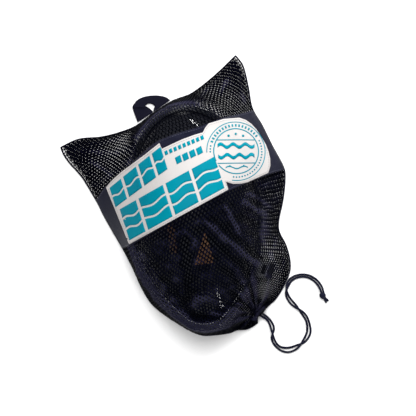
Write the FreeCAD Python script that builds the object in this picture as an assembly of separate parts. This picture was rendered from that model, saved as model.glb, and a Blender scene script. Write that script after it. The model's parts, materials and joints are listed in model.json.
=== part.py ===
"""Full-face snorkel mask stowed in its drawstring net bag, with the snorkel packed under the mask.

Millimetres. The bag lies on a table at z = 0 and the mask lies face down inside it, visor up.
+X is the mask's left-to-right seen from above, +Y runs from chin to forehead, +Z out of the visor.
"""
import FreeCAD, Part
import math
import os
from FreeCAD import Matrix, Placement, Rotation
from FreeCAD import Vector as V

os.makedirs("parts", exist_ok=True)

# ---- driving dimensions: mask -----------------------------------------------------------------
HALF_WIDTH = 86.0            # half of the mask's width
BROW_R, BROW_Y = 64.0, 79.0  # forehead arc of the outline
CHIN_R, CHIN_Y = 42.0, -95.0 # chin arc of the outline
SADDLE_R = 130.0             # face side is a saddle: a cylinder along Y
SKIRT_TOP = 16.0             # heights above the saddle
FRAME_TOP = 28.0
BEZEL_TOP = 40.0
RING_DEPTH = 7.0             # how far the rigid rings reach in from the outline
VISOR_CY = 8.0
VISOR_SEMI = (91.0, 165.0, 105.0)
VISOR_T = 2.2
CUP_CENTRE = (0.0, -50.0, 20.0)
CUP_SEMI = (42.0, 56.0, 58.0)
CUP_T = 2.0
LIP_IN = 22.0                # width of the skirt's face lip, from the outline
INHALE_XY = (25.0, -18.0)
DRAIN_Y = -104.0
SOCKET_Z = 58.3
SOCKET_SEMI = (19.0, 10.5)
BORE_SEMI = (16.0, 7.5)
SOCKET_Y = (116.0, 144.4)

# ---- driving dimensions: strap clips ------------------------------------------------------------
PIN_OUT, PIN_Z, PIN_R = 3.2, 30.0, 1.45
CLIP_W, CLIP_T = 23.0, 3.0
BAR_DOWN = 22.5              # pivot to the bar that the strap goes round
STRAP_W, STRAP_T = 18.0, 1.5
CLIPS = {                    # name: (side, y on the outline, outward swing at rest in degrees)
    "upper_left": (-1, 62.0, 0.0),
    "upper_right": (1, 62.0, 0.0),
    "lower_left": (-1, -68.0, 0.0),
    "lower_right": (1, -68.0, 45.0),
}

# ---- driving dimensions: snorkel ----------------------------------------------------------------
TUBE_SEMI = (17.0, 11.0)
TUBE_WALL = 1.8
HEAD_SEMI = (21.0, 12.3)

# ---- driving dimensions: bag ----------------------------------------------------------------------
NET_T = 1.2
LABEL_T = 0.9
CORD_R = 1.4
HEM_FROM, HEM_TO, HEM_Z = (57.5, -113.5), (69.5, -129.5), 10.2
HEM_R = 8.6

SEAM = [(-159.5, 111), (-136, 118.5), (-108, 118), (-86, 120.5), (-62, 126.5), (-37.5, 140), (-11.5, 153),
        (14.5, 160), (46.5, 179.5), (75.5, 201.5)]
RIGHT = [(75.5, 201.5), (83, 188), (86.5, 162), (88.5, 133), (98.5, 109.5), (108, 83), (120, 52),
         (119.5, 36.5), (114, 12), (105.5, -13), (104.5, -28), (111, -45.5), (114, -65), (112, -80),
         (100.5, -100), (90, -112.5), (78, -121.5), (70.5, -131.5)]
MOUTH = [(70.5, -131.5), (64, -141), (49.5, -147), (37, -147), (27.5, -149.5), (8, -150.5), (-8, -149.5),
         (-24, -142)]
LEFT = [(-24, -142), (-52, -121), (-63, -108), (-82, -64), (-94, -28), (-113, 19), (-120.5, 41.5),
        (-137.5, 83), (-148.5, 99.5), (-159.5, 111)]

BAND = [(-180, 0), (-123, 38.5), (-107.5, 55.5), (-70, 80), (-33, 103.5), (19.5, 114.5), (26.5, 119),
        (70, 126), (90, 130), (150, 150), (180, 50), (119.5, 49.5), (99.5, 46), (46, 30.5), (-20, 4),
        (-86, -24), (-96, -26), (-150, -40)]
LABEL = [(-107.5, 53.5), (-97, 62.5), (-70, 78.5), (-33, 100.5), (-30.5, 92.5), (-5, 101), (22.5, 107),
         (31, 117.5), (50, 121.5), (70.5, 121.5), (85, 112.5), (96, 94.5), (103, 74.5), (103, 60),
         (99, 48), (63, 38), (44, 42), (46, 32.5), (-20, 6), (-86, -21.5)]

# The two strands of the drawstring, from the hem to the knot: x, y, z of each bend.
STRAND_A = [(68.4, -130.9, 3.9), (72.6, -134.2, 2.6), (76.9, -138.2, 1.5), (79.2, -143.4, 1.45),
            (80.2, -149.2, 1.5), (80.9, -153.0, 3.5), (81.6, -156.8, 4.5), (82.3, -161.0, 3.5),
            (83.5, -166.0, 1.5), (85.9, -170.6, 1.45), (89.3, -174.2, 1.45), (94.5, -176.0, 1.45),
            (100.6, -176.5, 1.45), (106.6, -175.5, 1.45), (111.3, -174.3, 1.45), (115.7, -173.6, 1.45),
            (121.2, -171.7, 1.45), (125.8, -167.5, 1.45), (129.6, -161.9, 1.45), (130.6, -156.0, 1.45),
            (130.1, -150.0, 1.45), (129.2, -144.5, 1.45), (127.6, -139.1, 1.5), (124.0, -133.7, 3.5),
            (118.4, -128.9, 4.5), (113.1, -125.3, 3.5), (108.6, -120.8, 1.5), (105.7, -115.4, 1.45),
            (103.8, -109.0, 1.45), (105.3, -102.9, 1.45), (109.0, -97.4, 1.45), (112.4, -92.6, 1.45),
            (117.1, -89.8, 1.45), (122.6, -88.5, 1.45), (128.7, -88.4, 1.45), (134.9, -90.2, 1.45),
            (140.6, -94.1, 1.5), (145.2, -99.5, 1.6), (148.0, -105.3, 2.6), (149.0, -109.6, 3.5),
            (149.2, -112.25, 3.8)]
STRAND_B = [(71.2, -128.7, 3.9), (74.9, -131.9, 2.6), (79.2, -136.3, 1.5), (82.4, -141.6, 1.45),
            (84.3, -147.2, 1.45), (83.8, -152.2, 1.45), (81.4, -156.7, 1.45), (79.4, -161.2, 1.45),
            (80.3, -167.0, 1.45), (83.1, -172.2, 1.45), (86.8, -176.6, 1.45), (92.0, -180.6, 1.45),
            (99.2, -182.4, 1.45), (106.4, -180.9, 1.5), (111.4, -178.0, 3.5), (115.7, -174.0, 4.5),
            (118.9, -169.6, 3.5), (122.2, -165.0, 1.5), (125.3, -160.0, 1.45), (126.4, -155.1, 1.45),
            (126.6, -149.6, 1.45), (126.0, -144.4, 1.45), (124.0, -140.0, 1.45), (121.3, -135.2, 1.45),
            (118.4, -129.0, 1.45), (115.5, -123.2, 1.45), (111.8, -118.2, 1.45), (108.6, -113.2, 1.5),
            (106.6, -108.2, 3.5), (105.3, -102.9, 4.5), (106.2, -96.4, 3.5), (110.2, -90.2, 1.5),
            (115.6, -86.9, 1.45), (122.2, -85.4, 1.45), (129.2, -85.4, 1.45), (136.4, -87.4, 1.45),
            (143.0, -91.7, 1.5), (148.0, -97.6, 1.6), (151.2, -104.2, 2.6), (152.0, -109.2, 3.5),
            (152.1, -112.25, 3.8)]
KNOT = (150.5, -115.3, 4.4)
KNOT_R = 4.3
TAIL_ENDS = [(157.0, -122.8, 1.5), (154.2, -124.6, 1.5)]


# ---- outline of the mask: four arcs, tangent to each other ---------------------------------------
def side_arc():
    """Radius and centre height of the side arcs that touch both the forehead and the chin arc."""
    low, high = HALF_WIDTH + 1.0, 1000.0
    for _ in range(60):
        radius = (low + high) / 2.0
        reach = (radius - HALF_WIDTH) ** 2
        from_brow = BROW_Y - math.sqrt((radius - BROW_R) ** 2 - reach)
        from_chin = CHIN_Y + math.sqrt((radius - CHIN_R) ** 2 - reach)
        if from_chin < from_brow:
            low = radius
        else:
            high = radius
    return radius, from_brow


SIDE_R, SIDE_Y = side_arc()
SIDE_X = HALF_WIDTH - SIDE_R
SADDLE_Z = NET_T - math.sqrt(SADDLE_R ** 2 - (HALF_WIDTH - 4.0) ** 2)


def outline_distance(x, y):
    """Signed distance from the mask's outline, positive outside."""
    x = abs(x)
    dx, dy = x - SIDE_X, y - SIDE_Y
    if dy * -SIDE_X > dx * (BROW_Y - SIDE_Y):
        return math.hypot(x, y - BROW_Y) - BROW_R
    if dy * -SIDE_X < dx * (CHIN_Y - SIDE_Y):
        return math.hypot(x, y - CHIN_Y) - CHIN_R
    return math.hypot(dx, dy) - SIDE_R


def outline_reach(ux, uy, offset):
    """How far the offset outline lies from the origin in the direction (ux, uy)."""
    low, high = 0.0, 400.0
    for _ in range(50):
        mid = (low + high) / 2.0
        if outline_distance(ux * mid, uy * mid) < offset:
            low = mid
        else:
            high = mid
    return low


def outline_x(y):
    """Half width of the mask on a side arc."""
    return SIDE_X + math.sqrt(SIDE_R ** 2 - (y - SIDE_Y) ** 2)


def outline_prism(offset, z0, z1):
    def tangent(cy, radius):
        run = math.hypot(SIDE_X, cy - SIDE_Y)
        return -SIDE_X / run * (radius + offset), cy + (cy - SIDE_Y) / run * (radius + offset)

    bx, by = tangent(BROW_Y, BROW_R)
    cx, cy = tangent(CHIN_Y, CHIN_R)
    wide = HALF_WIDTH + offset
    stations = [
        ((bx, by), (0, BROW_Y + BROW_R + offset), (-bx, by)),
        ((-bx, by), (-wide, SIDE_Y), (-cx, cy)),
        ((-cx, cy), (0, CHIN_Y - CHIN_R - offset), (cx, cy)),
        ((cx, cy), (wide, SIDE_Y), (bx, by)),
    ]
    arcs = [Part.Arc(*[V(x, y, z0) for x, y in arc]).toShape() for arc in stations]
    return Part.Face(Part.Wire(arcs)).extrude(V(0, 0, z1 - z0))


def outline_ring(inner, outer, z0=0.0, z1=130.0):
    return outline_prism(outer, z0, z1).cut(outline_prism(inner, z0, z1))


# ---- small helpers ------------------------------------------------------------------------------
def saddle(height):
    return Part.makeCylinder(SADDLE_R + height, 420, V(0, -210, SADDLE_Z), V(0, 1, 0))


def saddle_layer(low, high):
    return saddle(high).cut(saddle(low))


def saddle_z(x, height):
    return math.sqrt((SADDLE_R + height) ** 2 - x * x) + SADDLE_Z


def ellipsoid(centre, semi, grow=0.0):
    scale = Matrix()
    scale.scale(V(*[(s + grow) / 100.0 for s in semi]))
    solid = Part.makeSphere(100.0).transformGeometry(scale)
    solid.translate(V(*centre))
    return solid


def box(x0, x1, y0, y1, z0, z1):
    return Part.makeBox(x1 - x0, y1 - y0, z1 - z0, V(x0, y0, z0))


def rod(radius, start, end):
    start, end = V(*start), V(*end)
    return Part.makeCylinder(radius, (end - start).Length, start, end - start)


def ring(outer, inner, z0, z1):
    return rod(outer, (0, 0, z0), (0, 0, z1)).cut(rod(inner, (0, 0, z0 - 1), (0, 0, z1 + 1)))


def oval_bar(semi, y0, y1, z):
    """An elliptical bar along Y."""
    big, small = max(semi), min(semi)
    curve = Part.Ellipse(V(0, y0, z), big, small)
    face = Part.Face(Part.Wire(curve.toShape()))
    face.rotate(V(0, y0, z), V(1, 0, 0), -90)
    return face.extrude(V(0, y1 - y0, 0))


def oval_tube(outer, inner, y0, y1, z):
    return oval_bar(outer, y0, y1, z).cut(oval_bar(inner, y0 - 1, y1 + 1, z))


def placed(shape, placement):
    copy = shape.copy()
    copy.Placement = placement.multiply(copy.Placement)
    return copy


def fuse(first, *others):
    return first.fuse(list(others)).removeSplitter()


def export(name, shape):
    solids = shape.Solids
    body = solids[0] if len(solids) == 1 else Part.makeCompound(solids)
    body.exportStep("parts/%s.step" % name)
    print("%-26s solids %d  valid %s  volume %.0f" % (name, len(solids), body.isValid(), body.Volume))


# ---- mask ---------------------------------------------------------------------------------------
def visor_height(x, y):
    a, b, c = VISOR_SEMI
    left = 1.0 - (x / a) ** 2 - ((y - VISOR_CY) / b) ** 2
    return c * math.sqrt(max(left, 0.0))


def normal_frame(centre, semi, x, y):
    """Placement on an ellipsoid's upper side at x, y, with local +Z along the outward normal."""
    dx, dy = x - centre[0], y - centre[1]
    dz = semi[2] * math.sqrt(1.0 - (dx / semi[0]) ** 2 - (dy / semi[1]) ** 2)
    normal = V(dx / semi[0] ** 2, dy / semi[1] ** 2, dz / semi[2] ** 2)
    return Placement(V(x, y, centre[2] + dz), Rotation(V(0, 0, 1), normal))


VISOR_CENTRE = (0.0, VISOR_CY, 0.0)
DRAIN = normal_frame(VISOR_CENTRE, VISOR_SEMI, 0.0, DRAIN_Y)


def visor_shell(grow, offset):
    outer = ellipsoid(VISOR_CENTRE, VISOR_SEMI, grow)
    inner = ellipsoid(VISOR_CENTRE, VISOR_SEMI, -VISOR_T - grow)
    return outer.cut(inner).common(outline_prism(offset, 25, 120))


def make_visor():
    shell = visor_shell(0.0, -3.2)
    shell = shell.cut(placed(rod(15.7, (0, 0, -14), (0, 0, 12)), DRAIN))
    shell = shell.cut(oval_bar((19.2, 10.7), 110, 150, SOCKET_Z))
    export("visor_lens", shell)


def clip_frame(side, y):
    """Local +X points outward from the frame at height y, +Y along it, +Z up."""
    x = outline_x(y)
    angle = math.degrees(math.atan2(y - SIDE_Y, x - SIDE_X))
    if side < 0:
        angle = 180.0 - angle
    return Placement(V(side * x, y, 0), Rotation(V(0, 0, 1), angle))


def lug():
    half = CLIP_W / 2.0
    ears = [box(-1.2, 6.2, s * (half + 1.9) - 1.4, s * (half + 1.9) + 1.4, PIN_Z - 3.4, PIN_Z + 3.4)
            for s in (-1, 1)]
    hole = rod(PIN_R, (PIN_OUT, -30, PIN_Z), (PIN_OUT, 30, PIN_Z))
    return [ear.cut(hole) for ear in ears]


def make_frame_and_bezel():
    groove = visor_shell(0.15, -3.0)
    throat = oval_bar(SOCKET_SEMI, 100, 160, SOCKET_Z)
    frame = outline_ring(-RING_DEPTH, 0).common(saddle_layer(SKIRT_TOP, FRAME_TOP)).cut(groove).cut(throat)
    for side, y, _ in CLIPS.values():
        frame = frame.fuse([placed(ear, clip_frame(side, y)) for ear in lug()])
    export("face_frame", frame)
    bezel = outline_ring(-RING_DEPTH, 1.2).common(saddle_layer(FRAME_TOP, BEZEL_TOP)).cut(groove).cut(throat)
    export("visor_bezel", bezel)


def make_skirt():
    wall = outline_ring(-6.8, -4.0).common(saddle_layer(0, SKIRT_TOP))
    lip = outline_ring(-LIP_IN, -4.0).common(saddle_layer(0, 2.4))
    flange = outline_ring(-6.8, -1.6).common(saddle_layer(SKIRT_TOP - 2.4, SKIRT_TOP))
    export("face_skirt", fuse(wall, lip, flange))


def make_cup():
    outer = ellipsoid(CUP_CENTRE, CUP_SEMI)
    inner = ellipsoid(CUP_CENTRE, CUP_SEMI, -CUP_T)
    above = box(-80, 80, -140, 60, 10, 120).cut(saddle(0))
    web = outline_prism(-LIP_IN, 10, 60).common(saddle_layer(0, 2.0)).common(box(-80, 80, -140, -66, 0, 80))
    cup = outer.common(above).fuse(web).cut(inner)
    for side in (-1, 1):
        cup = cup.cut(placed(rod(9.5, (0, 0, -8), (0, 0, 6)), inhale_frame(side)))
    export("orinasal_cup", max(cup.Solids, key=lambda s: s.Volume))


def inhale_frame(side):
    return normal_frame(CUP_CENTRE, CUP_SEMI, side * INHALE_XY[0], INHALE_XY[1])


def spokes(radius, z0, z1, width=1.2):
    bars = [box(-radius, radius, -width / 2, width / 2, z0, z1) for _ in range(2)]
    bars[1].rotate(V(0, 0, 0), V(0, 0, 1), 90)
    return bars


def make_inhale_valves():
    for side, name in ((-1, "left"), (1, "right")):
        frame = inhale_frame(side)
        seat = fuse(ring(9.5, 7.0, -3.2, 1.4), *spokes(7.4, -2.2, -0.8))
        export("inhale_seat_" + name, placed(seat, frame))
        export("inhale_flap_" + name, placed(rod(8.2, (0, 0, -4.4), (0, 0, -3.6)), frame))


def make_drain_valve():
    seat = fuse(ring(15.4, 9.5, -3.2, 1.0), ring(12.6, 9.5, -10, -3.2), *spokes(9.9, -0.8, 1.0))
    export("chin_valve_seat", placed(seat, DRAIN))
    export("chin_valve_disc", placed(rod(11.2, (0, 0, 1.35), (0, 0, 2.25)), DRAIN))
    cap = ring(15.0, 13.6, 1.0, 6.4).fuse(rod(15.0, (0, 0, 5.0), (0, 0, 6.4)))
    for turn in range(8):
        slot = box(12, 16, -2.6, 2.6, 2.2, 4.4)
        slot.rotate(V(0, 0, 0), V(0, 0, 1), 45 * turn + 22.5)
        cap = cap.cut(slot)
    rib_pitch = 5.0
    for step in (-2, -1, 0, 1, 2):
        x = step * rib_pitch
        reach = math.sqrt(13.6 ** 2 - x * x)
        cap = cap.fuse(box(x - 1.0, x + 1.0, -reach, reach, 6.2, 7.4))
    export("chin_valve_cap", placed(cap.removeSplitter(), DRAIN))


def make_socket():
    y0, y1 = SOCKET_Y
    body = oval_tube(SOCKET_SEMI, BORE_SEMI, y0, y1, SOCKET_Z)
    export("snorkel_socket", body)
    gasket = oval_tube(BORE_SEMI, (14.8, 6.3), 124.0, 127.0, SOCKET_Z)
    export("socket_gasket", gasket)


# ---- strap clips and harness --------------------------------------------------------------------
def clip_shape():
    half = CLIP_W / 2.0
    pivot = (PIN_OUT, PIN_Z)
    bottom = PIN_Z - BAR_DOWN - 1.5
    plate = box(pivot[0] - CLIP_T / 2, pivot[0] + CLIP_T / 2, -half + 0.5, half - 0.5, bottom, PIN_Z)
    knuckle = rod(2.8, (PIN_OUT, -half + 0.3, PIN_Z), (PIN_OUT, half - 0.3, PIN_Z))
    slot = box(0, 8, -STRAP_W / 2 - 0.5, STRAP_W / 2 + 0.5, bottom + 3.0, bottom + 6.4)
    window = box(0, 8, -6, 6, bottom + 9.4, PIN_Z - 6.0)
    solid = plate.fuse(knuckle).cut(slot).cut(window)
    return solid.cut(rod(PIN_R + 0.06, (PIN_OUT, -30, PIN_Z), (PIN_OUT, 30, PIN_Z)))


def swing_about_pin(shape, degrees):
    turned = shape.copy()
    turned.rotate(V(PIN_OUT, 0, PIN_Z), V(0, 1, 0), -degrees)
    return turned


def strap_loop():
    """The strap's sewn loop round the clip's bar."""
    z = PIN_Z - BAR_DOWN
    width = STRAP_W / 2.0
    outer = CLIP_T / 2 + 0.3 + STRAP_T
    inner = CLIP_T / 2 + 0.3
    loop = box(PIN_OUT - outer, PIN_OUT + outer, -width, width, z - outer, z + outer)
    return loop.cut(box(PIN_OUT - inner, PIN_OUT + inner, -width, width, z - inner, z + inner))


def strap_shape(swing, reach):
    """Loop, drop and the flat run under the mask towards the pad, in the clip's frame."""
    width = STRAP_W / 2.0
    angle = math.radians(swing)
    bar_x = PIN_OUT + BAR_DOWN * math.sin(angle)
    bar_z = PIN_Z - BAR_DOWN * math.cos(angle)
    half = STRAP_T / 2.0
    drop_x = bar_x + CLIP_T / 2 + 0.3 + 2 * half
    loop = swing_about_pin(strap_loop(), swing)
    drop = box(drop_x - half, drop_x + half, -width, width, NET_T, bar_z)
    if swing == 0:
        drop = box(bar_x - half, bar_x + half, -width, width, NET_T, bar_z - CLIP_T / 2 - 0.3 - half)
        drop_x = bar_x
    flat = box(-reach, drop_x + half, -width, width, NET_T, NET_T + STRAP_T)
    return fuse(loop, drop, flat)


def slider_shape(x):
    """Ladder-lock buckle round the flat run of a strap."""
    width = STRAP_W / 2.0
    frame = box(x - 7, x + 7, -width - 3, width + 3, NET_T + STRAP_T + 0.1, NET_T + STRAP_T + 2.3)
    for start in (-4.6, 1.4):
        frame = frame.cut(box(x + start, x + start + 3.2, -width, width, 0, 9))
    return frame


def make_harness():
    pins, sliders = [], []
    pad = box(-27, 27, -44, 46, NET_T, NET_T + STRAP_T)
    pad = pad.makeFillet(10, [e for e in pad.Edges if abs(e.Vertexes[0].Z - e.Vertexes[1].Z) > 1])
    for hole_y in (-22, 0, 22):
        pad = pad.cut(box(-9, 9, hole_y - 5, hole_y + 5, 0, 4))
    export("harness_pad", pad)
    for name, (side, y, swing) in CLIPS.items():
        frame = clip_frame(side, y)
        export("strap_clip_" + name, placed(swing_about_pin(clip_shape(), swing), frame))
        pins.append(placed(rod(PIN_R, (PIN_OUT, -14.6, PIN_Z), (PIN_OUT, 14.6, PIN_Z)), frame))
        strap = placed(strap_shape(swing, 70.0), frame).cut(pad)
        strap = strap.cut(box(-26.9, 26.9, -43.9, 45.9, 0, 6))
        export("harness_strap_" + name, max(strap.Solids, key=lambda s: s.Volume))
        sliders.append(placed(slider_shape(-24.0), frame))
    export("clip_pins", Part.makeCompound(pins))
    export("strap_sliders", Part.makeCompound(sliders))


# ---- snorkel, stowed along Y on the harness -------------------------------------------------------
TUBE_Z = NET_T + STRAP_T + TUBE_SEMI[1]
HEAD_Z = TUBE_Z
TUBE_Y = (-62.0, 118.0)
HEAD_Y = (-120.0, -62.0)
FLOAT_Y = (-108.0, -86.0)
VALVE_WALL_Y = (-79.0, -77.0)


def narrower(semi, by):
    return semi[0] - by, semi[1] - by


def make_snorkel():
    tube = oval_tube(TUBE_SEMI, narrower(TUBE_SEMI, TUBE_WALL), TUBE_Y[0], TUBE_Y[1], TUBE_Z)
    divider = box(-0.7, 0.7, TUBE_Y[0] + 2, TUBE_Y[1] - 2, TUBE_Z - 9.8, TUBE_Z + 9.8)
    tube = tube.fuse(divider)
    export("snorkel_tube", tube)

    collar = oval_tube((18.8, 12.4), TUBE_SEMI, 108.0, 118.0, TUBE_Z)
    collar = collar.fuse(oval_tube((18.8, 12.4), (13.8, 5.3), 118.0, 131.0, TUBE_Z))
    spigot = oval_tube((15.6, 7.1), (13.8, 5.3), 130.0, 149.0, TUBE_Z)
    groove = oval_tube((17, 8.5), (14.7, 6.2), 137.6, 140.0, TUBE_Z)
    pocket = box(-5.3, 5.3, 120.3, 129.7, TUBE_Z + 8.6, TUBE_Z + 14)
    collar = collar.fuse(spigot).cut(groove).cut(pocket)
    collar = collar.common(box(-40, 40, 100, 160, NET_T + 0.1, 60))
    export("snorkel_connector", collar)
    export("connector_oring", oval_tube((15.9, 7.4), (14.7, 6.2), 137.8, 139.8, TUBE_Z))
    button = box(-5, 5, 120.6, 129.4, TUBE_Z + 10.4, TUBE_Z + 13.6)
    top_edges = [e for e in button.Edges if e.BoundBox.ZMin > TUBE_Z + 13.5]
    export("release_button", button.makeFillet(0.8, top_edges))
    make_head()


def make_head():
    """Float valve's housing, its seat and the slotted cage that the float slides in."""
    inner = narrower(HEAD_SEMI, TUBE_WALL)
    body = oval_tube(HEAD_SEMI, inner, VALVE_WALL_Y[0], HEAD_Y[1] + 8, HEAD_Z)
    neck = oval_tube(HEAD_SEMI, TUBE_SEMI, HEAD_Y[1], HEAD_Y[1] + 8, HEAD_Z)
    neck = neck.cut(oval_bar(TUBE_SEMI, HEAD_Y[1] - 1, HEAD_Y[1] + 9, TUBE_Z))
    body = body.cut(oval_bar(TUBE_SEMI, HEAD_Y[1], HEAD_Y[1] + 9, TUBE_Z)).fuse(neck)
    boss = box(18.5, 22.5, -76, -64, HEAD_Z - 6.5, HEAD_Z + 6.5).cut(oval_bar(inner, -90, -50, HEAD_Z))
    body = body.fuse(boss).cut(box(15, 26, -73.5, -66.5, HEAD_Z - 4, HEAD_Z + 4))
    export("snorkel_head", body)

    seat = oval_bar(narrower(inner, 0.05), VALVE_WALL_Y[0], VALVE_WALL_Y[1], HEAD_Z)
    export("float_seat", seat.cut(oval_bar((11.0, 5.0), -90, -70, HEAD_Z)))

    cage = oval_tube(HEAD_SEMI, inner, HEAD_Y[0], VALVE_WALL_Y[0], HEAD_Z)
    for y in (-111, -104, -97, -90):
        cage = cage.cut(box(-30, 30, y - 1.7, y + 1.7, HEAD_Z - 5.5, HEAD_Z + 5.5))
    export("float_cage", cage)

    cap = oval_bar(HEAD_SEMI, -127.0, -120.0, HEAD_Z).cut(oval_bar(inner, -125.2, -119.0, HEAD_Z))
    lip = oval_tube(narrower(inner, 0.1), narrower(inner, 1.3), -125.2, -117.0, HEAD_Z)
    export("snorkel_head_cap", cap.fuse(lip))

    block = oval_bar((15.0, 7.2), FLOAT_Y[0], FLOAT_Y[1], HEAD_Z)
    export("snorkel_float", block.cut(oval_bar((13.0, 5.2), FLOAT_Y[0] - 1, FLOAT_Y[1] - 3, HEAD_Z)))
    export("float_seal", oval_bar((13.0, 6.4), FLOAT_Y[1], FLOAT_Y[1] + 1.4, HEAD_Z))
    flap = box(22.9, 23.7, -75.4, -64.6, HEAD_Z - 5.8, HEAD_Z + 6.0)
    export("exhale_flap", flap)


# ---- bag ----------------------------------------------------------------------------------------
RELIEF_ANGLE, RELIEF_SPREAD, RELIEF = -45.0, 16.0, 20.0   # room for the lower right clip, swung out


def wall_offset(x, y):
    """How far outside the mask's outline the net's steep side stands."""
    away = math.degrees(math.atan2(y, x)) - RELIEF_ANGLE
    return 9.0 + RELIEF * math.exp(-(away / RELIEF_SPREAD) ** 2)


def cover_height(x, y):
    """Height of the net over the visor, with room for the chin valve's cap."""
    bump = 15.0 * math.exp(-(x / 25.0) ** 2 - ((y + 113.0) / 20.0) ** 2)
    return visor_height(x, y) + 3.5 + bump


CROWN = [0.9, 0.74, 0.55, 0.36]
CROWN_END = (0.15, 108.8)


def bag_levels(x, y, lift):
    """Points of the front panel above one rim point, from the table to the crown."""
    reach = math.hypot(x, y)
    ux, uy = x / reach, y / reach
    rim = reach - NET_T + lift
    wall = outline_reach(ux, uy, wall_offset(x, y)) + lift
    slack = max(rim - wall, 0.0)
    edge = outline_reach(ux, uy, 0.0)
    top = saddle_z(ux * edge, BEZEL_TOP)
    points = [
        (rim, NET_T),
        (wall + 0.8 * slack, 7.0 + lift),
        (wall + 0.4 * slack, 14.0 + 0.25 * slack + lift),
        (wall, 0.62 * top + lift),
        (outline_reach(ux, uy, 4.0) + lift, top + 4.0 + lift),
    ]
    for share in CROWN:
        r = share * edge
        points.append((r + 0.3 * lift, cover_height(ux * r, uy * r) + lift))
    points.append((CROWN_END[0] * edge, CROWN_END[1] + lift))
    return [V(ux * r, uy * r, z) for r, z in points]


def bag_mass(lift):
    """Solid dome of the front panel, grown by lift."""
    columns = [[bag_levels(x, y, lift) for x, y in side] for side in (SEAM, RIGHT, MOUTH, LEFT)]
    wires = []
    for level in range(len(columns[0][0])):
        edges = []
        for side in columns:
            curve = Part.BSplineCurve()
            curve.interpolate([column[level] for column in side])
            edges.append(curve.toShape())
        wires.append(Part.Wire(edges))
    return Part.makeLoft(wires, True, True)


def rim_face(inset):
    edges = []
    for side in (SEAM, RIGHT, MOUTH, LEFT):
        curve = Part.BSplineCurve()
        scaled = [(x * (1 - inset / math.hypot(x, y)), y * (1 - inset / math.hypot(x, y))) for x, y in side]
        curve.interpolate([V(x, y, 0) for x, y in scaled])
        edges.append(curve.toShape())
    return Part.Face(Part.Wire(edges))


def plan_prism(points, z0, z1):
    corners = [V(x, y, z0) for x, y in points]
    return Part.Face(Part.makePolygon(corners + [corners[0]])).extrude(V(0, 0, z1 - z0))


def hem_axis():
    start, end = V(HEM_FROM[0], HEM_FROM[1], HEM_Z), V(HEM_TO[0], HEM_TO[1], HEM_Z)
    return start, end, (end - start).normalize()


def make_bag():
    export("bag_rear_net", rim_face(0.0).extrude(V(0, 0, NET_T)))
    inner, outer = bag_mass(0.0), bag_mass(NET_T)
    shell = outer.cut(inner)
    start, end, way = hem_axis()
    hem_room = Part.makeCylinder(HEM_R + 1.6, 60, start - way * 6, way)
    band_zone = plan_prism(BAND, -5, 130)
    export("bag_band", shell.common(band_zone))
    rest = shell.cut(band_zone)
    panels = sorted(rest.Solids, key=lambda s: s.Volume)[-2:]
    panels.sort(key=lambda s: s.CenterOfMass.y)
    lower = panels[0].cut(hem_room)
    export("bag_front_net_lower", max(lower.Solids, key=lambda s: s.Volume))
    export("bag_front_net_upper", panels[1])
    label = bag_mass(NET_T + LABEL_T).cut(outer).common(plan_prism(LABEL, 5, 130))
    export("label_patch", max(label.Solids, key=lambda s: s.Volume))


def make_hem():
    """The gathered hem: a short fluted bunch that the drawstring comes out of."""
    start, end, way = hem_axis()
    flutes, steps = 9, 54
    sections = []
    for centre, size in ((start, 0.72), (end, 1.0)):
        loop = []
        for step in range(steps):
            angle = 2 * math.pi * step / steps
            r = size * (HEM_R - 0.9 + 0.9 * math.cos(flutes * angle))
            across = V(-way.y, way.x, 0) * (r * math.cos(angle))
            loop.append(centre + across + V(0, 0, r * math.sin(angle)))
        curve = Part.BSplineCurve()
        curve.interpolate(Points=loop, PeriodicFlag=True)
        sections.append(Part.Wire(curve.toShape()))
    hem = Part.makeLoft(sections, True, True)
    export("mouth_hem", hem)


def rounded_path(points):
    """Straight runs joined by tangent arcs, with the smallest radius."""
    points = [V(*p) for p in points]
    edges, radii = [], []
    here = points[0]
    for before, corner, after in zip(points, points[1:], points[2:]):
        run_in, run_out = corner - before, after - corner
        shorter = min(run_in.Length, run_out.Length)
        turn = run_in.getAngle(run_out)
        cut = 0.45 * shorter
        radii.append(cut / math.tan(turn / 2.0))
        a = corner - run_in.normalize() * cut
        b = corner + run_out.normalize() * cut
        inward = (a + b) * 0.5 - corner
        radius = radii[-1]
        depth = radius / math.cos(turn / 2.0) - radius
        middle = corner + inward.normalize() * depth
        edges.append(Part.LineSegment(here, a).toShape())
        edges.append(Part.Arc(a, middle, b).toShape())
        here = b
    edges.append(Part.LineSegment(here, points[-1]).toShape())
    return Part.Wire(edges), radii


def make_strand(name, points):
    wire, radii = rounded_path(points)
    heading = V(*points[1]) - V(*points[0])
    profile = Part.Wire(Part.Circle(V(*points[0]), heading, CORD_R).toShape())
    tube = wire.makePipeShell([profile], True, False)
    section = math.pi * CORD_R ** 2
    print(name, "length %.1f" % wire.Length, "smallest radius %.1f" % min(radii),
          "volume ratio %.3f" % (tube.Volume / (section * wire.Length)))
    export(name, tube)


def make_drawstring():
    make_strand("drawstring_a", STRAND_A)
    make_strand("drawstring_b", STRAND_B)
    centre = V(*KNOT)
    lead = V(0.05, -1.0, 0)
    ball = Part.makeSphere(KNOT_R, centre)
    reach = 2.85
    back = Part.makeBox(20, 20, 20, V(-10, -10, -20))
    back.Placement = Placement(centre - lead.normalize() * reach, Rotation(V(0, 0, 1), lead))
    knot = ball.cut(back)
    for end in TAIL_ENDS:
        knot = knot.fuse(rod(CORD_R, (centre.x, centre.y, centre.z - 0.4), end))
    knot = knot.common(box(100, 200, -160, -80, 0, 20))
    export("drawstring_knot", knot)


LOOP_T = 2.2


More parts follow.
